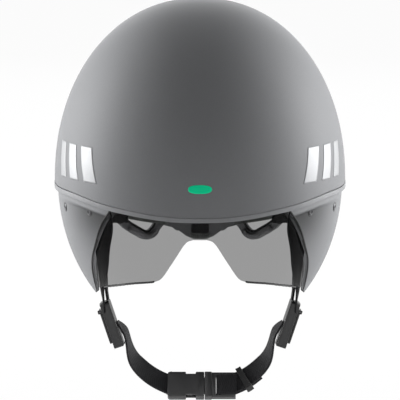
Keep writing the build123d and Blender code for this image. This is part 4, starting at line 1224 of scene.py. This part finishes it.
@dataclass
class Straps:
    """Webbing from the liner down through the dividers to the buckle."""

    width: float = 15.0 * MM
    thickness: float = 1.6 * MM
    drop: float = 132.0 * MM
    divider_shares: tuple[float, float, float] = (-0.606, -0.080, -0.675)
    divider_lean: tuple[float, float, float] = (-0.34, 0.10, 1.0)
    divider_length: float = 34.0 * MM
    divider_width: float = 22.0 * MM
    divider_corner: float = 2.5 * MM
    spread_share: float = 0.18
    web_gap: float = 0.3 * MM
    buckle_y_share: float = -0.165
    buckle_tilt: float = math.radians(-33.0)
    tail_offset: float = 2.5 * MM
    fold_mm: tuple[tuple[float, float], ...] = (
        (26.0, 3.4), (19.0, 3.4), (15.0, 3.4), (12.5, 2.4), (12.2, 0.0), (12.5, -2.4), (15.0, -3.4),
        (19.0, -3.4), (25.0, -3.4))
    front: tuple[tuple[float, float, float], ...] = (
        (-0.660, -0.540, 0.105), (-0.643, -0.505, -0.010), (-0.638, -0.455, -0.095), (-0.656, -0.385, -0.190),
        (-0.664, -0.305, -0.280), (-0.668, -0.230, -0.365), (-0.674, -0.165, -0.450))
    front_turn: tuple[float, ...] = (-0.66, -0.66, -0.64, -0.60, -0.50, -0.36, -0.16, 0.0)
    rear: tuple[tuple[float, float, float], ...] = (
        (-0.640, 0.660, 0.100), (-0.650, 0.642, 0.015), (-0.688, 0.570, -0.070), (-0.722, 0.465, -0.165),
        (-0.716, 0.340, -0.262), (-0.690, 0.215, -0.345), (-0.664, 0.105, -0.425), (-0.650, 0.020, -0.495))
    rear_turn: tuple[float, ...] = (0.50, 0.48, 0.36, 0.26, 0.18, 0.10, 0.04, 0.0, 0.0)
    chin: tuple[tuple[float, float, float], ...] = (
        (-0.572, -0.088, -0.662), (-0.522, -0.094, -0.706), (-0.496, -0.104, -0.760),
        (-0.477, -0.118, -0.811), (-0.446, -0.136, -0.863), (-0.385, -0.153, -0.916),
        (-0.300, -0.163, -0.962), (-0.215, -0.165, -0.992))
    left_end_reach: float = 1.25
    bent_knots: tuple[int, int] = (1, 6)
    stations: int = 160
    corner_share: float = 0.49
    corner_points: int = 7
    web_points: int = 15
    web_share: float = 0.8
    web_power: int = 6
    web_half_share: float = 0.44
    axes: dict[str, np.ndarray] = field(default_factory=dict)

    def places(self, shares: Sequence[Sequence[float]]) -> np.ndarray:
        """Points from shares of the half width, the front reach and the strap drop."""
        return np.asarray(shares, float) * np.array([FORM.half_width, FORM.front_reach, self.drop])

    def set_axes(self) -> None:
        """Work out the left divider's place and axes, and the buckle's width direction."""
        up = unit(np.array(self.divider_lean))
        across = np.array([0.0, 1.0, 0.0])
        across = -unit(across - up * (across @ up))
        facing = np.array([0, -math.cos(self.buckle_tilt), -math.sin(self.buckle_tilt)])
        self.axes = {"middle": self.places([self.divider_shares])[0], "up": up, "across": across,
                     "out": np.cross(across, up), "buckle_up": np.cross(facing, np.array([1.0, 0.0, 0.0]))}

    def divider_entry(self, hand: float) -> np.ndarray:
        """Point inside the divider where the front strap (hand 1) or the rear strap (hand -1) ends."""
        across = hand * self.spread_share * self.divider_width
        along = self.divider_length / 2 - 2 * self.divider_corner
        through = hand * (self.thickness / 2 + 2 * self.web_gap)
        return (self.axes["middle"] + self.axes["across"] * across + self.axes["up"] * along
                + self.axes["out"] * through)

    def strip(self, name: str, knots: np.ndarray, turns: np.ndarray, side: Side,
              shift: float = 0.0) -> bpy.types.Object:
        """Webbing along a smooth line.

        Formula: a flat rounded section, thinner between its two selvedges, carried along the line with its
        width kept square to it.

        Args:
            name: Name of the piece.
            knots: Points of the line.
            turns: Width direction at each point.
            side: Hand of the strap.
            shift: How far the strap lies to its face side.

        Returns:
            The piece.
        """
        line = smooth_line(knots, self.stations)
        run = unit(np.gradient(line, axis=0))
        knot_run, line_run = run_length(knots), run_length(line)
        width = read_off(line_run / line_run[-1] * knot_run[-1], knot_run, turns)
        width = unit(width - run * np.sum(width * run, axis=1, keepdims=True))
        face = np.cross(run, width)
        corner = self.thickness * self.corner_share
        profile = rounded_profile(self.width, self.thickness, corner, self.corner_points)
        columns = np.linspace(-1, 1, self.web_points)[1:-1]
        rise = (1 - self.web_share) * np.abs(columns) ** self.web_power
        body = self.thickness / 2 * (self.web_share + rise)
        upper = np.stack([-columns * self.width * self.web_half_share, body], axis=-1)
        quarter = len(profile) // 4
        section = np.concatenate([profile[:quarter], upper, profile[quarter:3 * quarter], -upper,
                                  profile[3 * quarter:]])
        return carried(name, section, on_side(line + face * shift, side), on_side(width, side),
                       on_side(face, side))

    def upper(self, side: Side) -> None:
        """Make the front and rear straps of one side."""
        hand = side.hand
        for label, shares, leans, sign in (("front", self.front, self.front_turn, 1),
                                           ("rear", self.rear, self.rear_turn, -1)):
            knots = np.concatenate([self.places(shares), [self.divider_entry(sign)]])
            lean = np.array(leans)
            turns = np.stack([lean, np.sqrt(1 - lean ** 2), 0 * lean], axis=-1)
            piece = self.strip(f"webbing_{label}_{hand}", knots, turns, side)
            settle(piece, WEBBING, "webbing", BODY_HELMET, f"strap_{label}_{hand}")

    def chin_turns(self) -> np.ndarray:
        """Width directions of the chin strap, from the divider's to the buckle's."""
        share = np.sqrt(np.linspace(0, 1, len(self.chin)))[:, None]
        return -self.axes["across"] * (1 - share) + self.axes["buckle_up"] * share

    def build(self) -> None:
        """Make every strap."""
        self.set_axes()
        for side in Side:
            self.upper(side)
            knots = self.places(self.chin)
            if side is Side.LEFT:
                knots[-1] = knots[-2] + (knots[-1] - knots[-2]) * self.left_end_reach
            piece = self.strip(f"webbing_chin_{side.hand}", knots, self.chin_turns(), side)
            body = BODY_HELMET if side is Side.LEFT else None
            settle(piece, CHIN_WEBBING_PAINTED_LIGHT, "webbing", body, f"chin_strap_{side.hand}")
            if body is None:
                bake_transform(piece)
        knots = self.places(self.chin)[-3:]
        tail = self.strip("webbing_tail", knots, self.chin_turns()[-3:], Side.RIGHT, -self.tail_offset)
        settle(tail, CHIN_WEBBING_PAINTED_LIGHT, "webbing", BODY_PLUG, "strap_tail")
        self.fold()

    def fold(self) -> None:
        """Make the strap's fold through the slot of the buckle's adjuster."""
        middle = np.array([0.0, self.buckle_y_share * FORM.front_reach, -self.drop])
        forward = np.cross(np.array([1.0, 0.0, 0.0]), self.axes["buckle_up"])
        flat = np.array(self.fold_mm) * MM
        knots = middle + flat[:, :1] * np.array([1.0, 0.0, 0.0]) + flat[:, 1:] * forward
        turns = np.broadcast_to(self.axes["buckle_up"], knots.shape)
        piece = self.strip("webbing_fold", knots, turns, Side.LEFT)
        settle(piece, CHIN_WEBBING_PAINTED_LIGHT, "webbing", BODY_PLUG)


@dataclass
class Pads:
    """Knitted pads on the liner's inner face.

    A pad's patch is its middle, its half length and its half width, in two directions.
    """

    gap_mm: float = 0.5
    edge_mm: float = 0.6
    thickness_mm: float = 4.4
    cap_mm: float = 1.2
    voxel_mm: float = 1.6
    frames: int = 16
    pressure: float = 4.0
    swell_share: float = 0.6
    edge_power: int = 6
    corner: float = 0.12
    brow_patch_mm: tuple[float, float, float, float] = (0.0, 53.0, 25.0, 10.4)
    side_patch_mm: tuple[float, float, float, float] = (8.0, 25.4, 44.0, 11.4)
    crown_pitch_mm: float = 34.0
    crown_half_mm: float = 9.4
    crown_y_mm: float = 5.0
    crown_long_mm: float = 46.0
    crown_loss: float = 0.3
    brow_grid: tuple[int, int] = (90, 24)
    side_grid: tuple[int, int] = (50, 26)
    crown_grid: tuple[int, int] = (24, 60)
    fill: float = 0.7

    def crown_share(self, u: np.ndarray, v: np.ndarray) -> np.ndarray:
        """Thickness share over a pad: full in the middle and falling softly to nothing at the edge."""
        edge = np.maximum(np.abs(u), np.abs(v))
        return np.clip(1 - edge ** self.edge_power, 0, 1) ** 0.5

    def rounded(self, count_u: int, count_v: int) -> tuple[np.ndarray, np.ndarray, np.ndarray]:
        """Places on a square drawn out to a square with rounded corners, and the thickness share there."""
        u, v = np.meshgrid(np.linspace(-1, 1, count_u), np.linspace(-1, 1, count_v))
        drawn = [a * np.sqrt(1 - self.corner * b ** self.edge_power) for a, b in ((u, v), (v, u))]
        return drawn[0], drawn[1], self.crown_share(u, v)

    def closed(self, name: str, base: np.ndarray, top: np.ndarray) -> bpy.types.Object:
        """Closed form between a base surface and a top surface on the same grid."""
        rows, columns = base.shape[:2]
        faces = grid_faces(rows, columns)
        index = np.arange(rows * columns).reshape(rows, columns)
        loop = np.concatenate([index[0], index[1:, -1], index[-1, ::-1][1:], index[::-1, 0][1:-1]])
        after = np.roll(loop, -1)
        size = rows * columns
        sides = np.stack([loop, after, after + size, loop + size], axis=-1)
        piece = mesh_piece(name, np.concatenate([base.reshape(-1, 3), top.reshape(-1, 3)]),
                           np.concatenate([faces[:, ::-1], faces + size, sides]))
        outwards(piece)
        return piece

    def swell(self, piece: bpy.types.Object) -> None:
        """Blow the pad up a little as cloth, with each point's way capped, then smooth it once."""
        bpy.context.view_layer.objects.active = piece
        for other in bpy.context.selected_objects:
            other.select_set(False)
        piece.select_set(True)
        remesh = piece.modifiers.new("even", "REMESH")
        remesh.mode = "VOXEL"
        remesh.voxel_size = self.voxel_mm * MM
        remesh.use_smooth_shade = True
        bpy.ops.object.modifier_apply(modifier=remesh.name)
        rest = points_of(piece)
        cloth = piece.modifiers.new("cloth", "CLOTH")
        cloth.settings.use_pressure = True
        cloth.settings.uniform_pressure_force = self.pressure
        cloth.settings.effector_weights.gravity = 0.0
        scene = bpy.context.scene
        for step in range(1, self.frames + 1):
            scene.frame_set(step)
        bpy.ops.object.modifier_apply(modifier=cloth.name)
        scene.frame_set(1)
        way = points_of(piece) - rest
        length = np.linalg.norm(way, axis=1, keepdims=True)
        cap = self.cap_mm * MM
        way *= np.minimum(1, cap / np.maximum(length, NOTHING))
        piece.data.vertices.foreach_set("co", (rest + way * self.swell_share).astype(np.float32).ravel())
        piece.data.update()
        fine = piece.modifiers.new("fine", "SUBSURF")
        fine.levels = 1
        fine.render_levels = 1

    def insets(self, share: np.ndarray) -> tuple[np.ndarray, np.ndarray]:
        """Inset of the base and of the crowned top over a pad."""
        base = np.full_like(share, self.gap_mm * MM)
        return base, base + (self.edge_mm + (self.thickness_mm - self.edge_mm) * share) * MM

    def brow(self) -> bpy.types.Object:
        """Pad across the forehead."""
        u, v, share = self.rounded(*self.brow_grid)
        middle_x, half_x, middle_z, half_z = self.brow_patch_mm
        x, z = (middle_x + u * half_x) * MM, (middle_z + v * half_z) * MM
        base, top = self.insets(share)
        faces = [np.stack([x, np.vectorize(HEAD.front_y)(x, z, inset), z], axis=-1) for inset in (base, top)]
        return self.closed("pad_brow", *faces)

    def side(self, side: Side) -> bpy.types.Object:
        """Pad at one side of the head."""
        u, v, share = self.rounded(*self.side_grid)
        middle_y, half_y, middle_z, half_z = self.side_patch_mm
        y, z = (middle_y + u * half_y) * MM, (middle_z + v * half_z) * MM
        base, top = self.insets(share)
        faces = [on_side(np.stack([-np.vectorize(HEAD.half_breadth)(y, z, inset), y, z], axis=-1), side)
                 for inset in (base, top)]
        return self.closed(f"pad_side_{side.hand}", *faces)

    def crown(self, step: int) -> bpy.types.Object:
        """One of the three pads along the top of the head."""
        half = self.crown_long_mm * (1 - abs(step) * self.crown_loss) - self.edge_mm
        u, v, share = self.rounded(*self.crown_grid)
        x = (step * self.crown_pitch_mm + u * self.crown_half_mm) * MM
        y = (self.crown_y_mm + v * half) * MM
        base, top = self.insets(share)
        faces = [np.stack([x, y, HEAD.top_z(x, y, inset)], axis=-1) for inset in (base, top)]
        return self.closed(f"pad_crown_{step + 2}", *faces)

    def build(self) -> None:
        made = [(self.brow(), ("brow_pad",)), (self.side(Side.LEFT), ("side_pads",)),
                (self.side(Side.RIGHT), ()), (self.crown(-1), ("crown_pads",)), (self.crown(0), ()),
                (self.crown(1), ())]
        for piece, nodes in made:
            self.swell(piece)
            settle(piece, KNIT, "pad", BODY_HELMET, *nodes)


@dataclass
class Cradle:
    """Lobe pads, ribs and window of the rear cradle, with black strips along the arms' top grooves; the
    strips, the black sheet behind the ribs and the window's black dome are painted shade.
    """

    arm: tuple[tuple[float, float, float], ...] = (
        (-0.860, 0.440, -0.086), (-0.822, 0.525, -0.106), (-0.738, 0.620, -0.166), (-0.646, 0.720, -0.227),
        (-0.563, 0.795, -0.264), (-0.483, 0.850, -0.286), (-0.428, 0.878, -0.270), (-0.388, 0.896, -0.238),
        (-0.330, 0.915, -0.210), (-0.220, 0.935, -0.196), (-0.100, 0.945, -0.194), (0.0, 0.948, -0.194))
    arm_depth: float = 81.395 * MM
    face_mm: float = 1.2
    pad_x_mm: tuple[float, float] = (-53.5, -33.3)
    pad_low_mm: float = 1.1
    pad_half_mm: float = 2.35
    groove_x_mm: tuple[float, float] = (-66.0, -31.0)
    groove_up_mm: float = -2.6
    plate_y_mm: float = 98.8
    rib_pitch_mm: float = 1.4
    rib_half_mm: float = 7.7
    window_y_mm: float = 100.2
    window_z_mm: float = -37.0
    window_half_mm: tuple[float, float] = (6.6, 2.9)
    window_dome_mm: float = 0.5
    window_rounding_mm: float = 0.15
    line_points: int = 600
    lobe_points: int = 201
    lobe_grid: tuple[int, int] = (44, 16)
    groove_points: int = 90
    window_grid: tuple[int, int] = (40, 20)
    pad_sunk_mm: float = 0.15
    pad_edge_mm: float = 0.55
    pad_crown_mm: float = 2.3
    groove_section_mm: tuple[float, float, float] = (1.7, 0.7, 0.3)
    rib_grid: tuple[int, int] = (14, 134)
    rib_low_mm: float = -44.6
    rib_high_mm: float = -41.0
    rib_level_mm: float = 4.2
    rib_rise: float = 0.44
    rib_taper: float = 0.3
    rib_base_mm: float = 0.7
    rib_relief_mm: float = 0.65
    shade_sheet_mm: float = 0.6
    plate_wall_mm: float = 0.5
    rib_rounding_mm: float = 0.12

    def line(self, span_mm: tuple[float, float], count: int) -> tuple[np.ndarray, np.ndarray, np.ndarray]:
        """Part of the left arm's middle line between two places across, evenly divided.

        Args:
            span_mm: First and last X.
            count: Number of points.

        Returns:
            Places, downward directions across the arm's face, and directions away from the head.
        """
        scale = np.array([self.arm_depth, HEAD.rear_reach, FORM.crown_z])
        whole = smooth_line(np.array(self.arm) * scale + np.array([0, FORM.centre_y, 0]), self.line_points)
        order = np.arange(len(whole))
        at = np.linspace(*np.interp(np.array(span_mm) * MM, whole[:, 0], order), count)
        places = read_off(at, order, whole)
        run = unit(np.gradient(places, axis=0))
        away = np.stack([places[:, 0] / HEAD.half_width ** 2,
                         (places[:, 1] - FORM.centre_y) / HEAD.rear_reach ** 2, 0 * at], axis=-1)
        away = unit(away - run * np.sum(away * run, axis=1, keepdims=True))
        return places, np.cross(away, run), away

    def lobe(self, side: Side, pads: Pads) -> bpy.types.Object:
        """Soft pad on the inner face of one lobe."""
        u, v, share = pads.rounded(*self.lobe_grid)
        order = np.arange(self.lobe_points)
        at = (u + 1) * (self.lobe_points - 1) / 2
        places, down, away = (read_off(at, order, values) for values in self.line(self.pad_x_mm, len(order)))
        across = (self.pad_low_mm + self.pad_half_mm * v)[..., None] * MM
        middle = places + down * across
        base = middle - away * (self.face_mm + self.pad_sunk_mm) * MM
        top = middle - away * (self.face_mm + self.pad_edge_mm + self.pad_crown_mm * share[..., None]) * MM
        return pads.closed(f"pad_lobe_{side.hand}", on_side(base, side), on_side(top, side))

    def groove(self, side: Side) -> None:
        """Make the black strip along the top of one arm's inner face; it stands for the shade in the groove
        there: painted shade.
        """
        places, down, away = self.line(self.groove_x_mm, self.groove_points)
        places = places + down * self.groove_up_mm * MM - away * self.face_mm * MM
        section = rounded_profile(*(size * MM for size in self.groove_section_mm))
        piece = carried(f"arm_inlay_{side.hand}", section, on_side(places, side), on_side(down, side),
                        on_side(away, side))
        settle(piece, RUBBER, "seal_rubber", BODY_CRADLE)

    def ribs(self) -> None:
        """Make the upright ribs under the window, and the black sheet behind them that shows in their troughs
        as painted shade.

        Formula: a cosine across the plate, tapered at both ends and cut along the plate's lower edge, which
        is level in the middle and rises to the sides.
        """
        rows, columns = self.rib_grid
        x = np.linspace(-self.rib_half_mm, self.rib_half_mm, columns)
        low = self.rib_low_mm + np.clip(np.abs(x) - self.rib_level_mm, 0, None) * self.rib_rise
        share = np.linspace(0, 1, rows)[:, None]
        z = low * (1 - share) + self.rib_high_mm * share
        taper = np.sin(share * math.pi) ** self.rib_taper
        crest = self.rib_relief_mm * taper * np.cos(x * math.tau / self.rib_pitch_mm)
        # The second sheet is black and shows between the ribs as painted shade in the grooves.
        for name, proud, finish, slot in (("plate_ribs", self.rib_base_mm + crest, CLIP, "cradle_plastic"),
                                          ("plate_rib_painted_shade", self.shade_sheet_mm * taper, RUBBER, "seal_rubber")):
            grid = np.stack([x + 0 * z, self.plate_y_mm - proud + 0 * z, z], axis=-1) * MM
            ribs = sheet_piece(name, grid, (0, -1, 0))
            wall(ribs, self.plate_wall_mm * MM, self.rib_rounding_mm * MM, 2)
            settle(ribs, finish, slot, BODY_CRADLE)

    def window(self) -> None:
        """Make the black dome over the window's opening in front of the dial; its black stands for the shade
        in the pocket behind: painted shade.
        """
        u, v = np.meshgrid(*(np.linspace(-1, 1, count) for count in self.window_grid))
        half_x, half_z = self.window_half_mm
        y = self.window_y_mm - self.window_dome_mm * (1 - u ** 2) * (1 - v ** 2)
        grid = np.stack([u * half_x, y, self.window_z_mm + v * half_z], axis=-1) * MM
        window = sheet_piece("plate_window", grid, (0, -1, 0))
        wall(window, self.plate_wall_mm * MM, self.window_rounding_mm * MM, 2)
        settle(window, NYLON, "black_plastic", BODY_CRADLE)

    def build(self) -> None:
        """Make everything that the cradle carries."""
        pads = Pads(voxel_mm=0.7, cap_mm=0.5)
        for side in Side:
            self.groove(side)
            pad = self.lobe(side, pads)
            pads.swell(pad)
            settle(pad, LOBE, "pad", BODY_CRADLE, *(("cradle_pads",) if side is Side.LEFT else ()))
        self.ribs()
        self.window()


def points_of(piece: bpy.types.Object) -> np.ndarray:
    """The mesh's points as an array."""
    co = np.zeros(len(piece.data.vertices) * 3, np.float32)
    piece.data.vertices.foreach_get("co", co)
    return co.reshape(-1, 3).astype(float)


def dress_nodes(nodes: dict[str, bpy.types.Object]) -> None:
    """Give every CAD node its finish and soft shading across its gentle edges.

    Args:
        nodes: The CAD nodes by name.
    """
    for finish, names in CAD_FINISHES:
        for name in names:
            node = nodes[name]
            WARDROBE.dress(node, finish)
            node.data.polygons.foreach_set("use_smooth", np.ones(len(node.data.polygons), bool))
            weld = node.modifiers.new("joined", "WELD")
            weld.merge_threshold = NODE_WELD
            if name in ROUNDED_NODES_MM:
                soft = node.modifiers.new("softened", "BEVEL")
                soft.width = ROUNDED_NODES_MM[name] * MM
                soft.segments = 2
                soft.limit_method = "ANGLE"
                soft.angle_limit = ROUNDED_TURN
                soft.use_clamp_overlap = False
                soft.harden_normals = True
            else:
                split = node.modifiers.new("edges", "EDGE_SPLIT")
                split.split_angle = SPLIT_TURN
            LOG.info("node %s wears %s", name, finish.name)


@dataclass
class Studio:
    """Camera at the photograph's place, pale floor and soft lamps."""

    distance: float = 2.2
    elevation: float = math.radians(8.0)
    sensor_mm: float = 36.0
    focal_px: float = 3097.6
    picture_px: int = 400
    near_far: tuple[float, float] = (0.1, 100.0)
    sink: float = -0.006
    floor_z: float = -0.1475
    floor_half: float = 9.0
    floor_steps: int = 7
    floor_grey: float = 0.8
    floor_white: float = 0.96
    soft_light: float = 0.13
    lamps: tuple[tuple[str, tuple[float, float, float], tuple[float, float], float], ...] = (
        ("box_left", (-1.75, 0.62, 0.35), (1.4, 1.6), 86),
        ("box_right", (1.75, 0.62, 0.35), (1.4, 1.6), 86),
        ("box_rear", (0, 2.2, 0.9), (1.6, 1.2), 14),
        ("box_front", (0, -2.6, 0.1), (1.6, 0.9), 9))

    def camera(self) -> None:
        """Make the camera and name it the scene's."""
        data = bpy.data.cameras.new("camera")
        data.lens = self.sensor_mm * self.focal_px / self.picture_px
        data.sensor_width = self.sensor_mm
        data.shift_y = self.sink
        data.clip_start, data.clip_end = self.near_far
        camera = bpy.data.objects.new("camera", data)
        bpy.context.scene.collection.objects.link(camera)
        back = Vector((0, -math.cos(self.elevation), math.sin(self.elevation)))
        camera.location = back * self.distance
        camera.rotation_mode = "QUATERNION"
        camera.rotation_quaternion = (-back).to_track_quat("-Z", "Y")
        bpy.context.scene.camera = camera

    def backing(self, tree: bpy.types.NodeTree) -> bpy.types.NodeSocket:
        """1 for rays that show the background: from the camera, off gloss or through glass."""
        path = add_node(tree, "ShaderNodeLightPath").outputs
        first = sums(tree, "MAXIMUM", path["Is Camera Ray"], path["Is Transmission Ray"])
        return sums(tree, "MAXIMUM", first, path["Is Glossy Ray"])

    def floor(self) -> None:
        """Make the floor: pale, white to the camera, but with the object's shadow."""
        side = np.linspace(-self.floor_half, self.floor_half, self.floor_steps)
        grid = np.stack(np.meshgrid(side, side, [self.floor_z]), axis=-1)
        floor = sheet_piece("studio_floor", grid[:, :, 0], (0, 0, 1))
        material = bpy.data.materials.new("studio_floor")
        material.use_nodes = True
        tree = material.node_tree
        tree.nodes.clear()
        plain = add_node(tree, "ShaderNodeBsdfDiffuse", {"Color": (*[self.floor_grey] * 3, 1)})
        white = add_node(tree, "ShaderNodeEmission", {"Color": (1, 1, 1, 1), "Strength": 1.0})
        amount = sums(tree, "MULTIPLY", self.backing(tree), self.floor_white)
        mix = add_node(tree, "ShaderNodeMixShader", {0: amount, 1: plain.outputs[0], 2: white.outputs[0]})
        add_node(tree, "ShaderNodeOutputMaterial", {"Surface": mix.outputs[0]})
        floor.data.materials.append(material)

    def world(self) -> None:
        """Make the surroundings: white where they show, and a soft grey light."""
        world = bpy.data.worlds.new("studio")
        bpy.context.scene.world = world
        world.use_nodes = True
        tree = world.node_tree
        tree.nodes.clear()
        soft = add_node(tree, "ShaderNodeBackground", {"Color": (1, 1, 1, 1), "Strength": self.soft_light})
        white = add_node(tree, "ShaderNodeBackground", {"Color": (1, 1, 1, 1), "Strength": 1.0})
        mix = add_node(tree, "ShaderNodeMixShader", {0: self.backing(tree), 1: soft.outputs[0],
                                                     2: white.outputs[0]})
        add_node(tree, "ShaderNodeOutputWorld", {"Surface": mix.outputs[0]})

    def lamp(self, name: str, place: Sequence[float], size: tuple[float, float], power: float) -> None:
        """Make a soft box that looks at the helmet.

        Args:
            name: Name of the lamp.
            place: Where it stands.
            size: Width and height.
            power: Watts.
        """
        data = bpy.data.lights.new(name, "AREA")
        data.shape = "RECTANGLE"
        data.size, data.size_y = size
        data.energy = power
        lamp = bpy.data.objects.new(name, data)
        bpy.context.scene.collection.objects.link(lamp)
        lamp.location = place
        lamp.rotation_mode = "QUATERNION"
        lamp.rotation_quaternion = (-Vector(place)).to_track_quat("-Z", "Y")

    def build(self) -> None:
        """Make camera, floor, surroundings and lamps."""
        self.camera()
        self.floor()
        self.world()
        for lamp in self.lamps:
            self.lamp(*lamp)
        bpy.context.scene.view_settings.view_transform = "Standard"


def main() -> None:
    """Build the helmet's looks in order."""
    logging.basicConfig(level=logging.INFO, format="%(name)s: %(message)s")
    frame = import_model()
    Studio().build()
    dress_nodes(frame["nodes"])
    for assembly in (Shell(), Markings(), EarCovers(), Visor(), Straps(), Pads(), Cradle()):
        assembly.build()
        LOG.info("%s built", type(assembly).__name__)
    left = [name for name, node in frame["nodes"].items() if not node.hide_render and not node.data.materials]
    LOG.info("nodes without a finish: %s", left)
    bpy.context.view_layer.update()


if __name__ == "__main__":
    main()
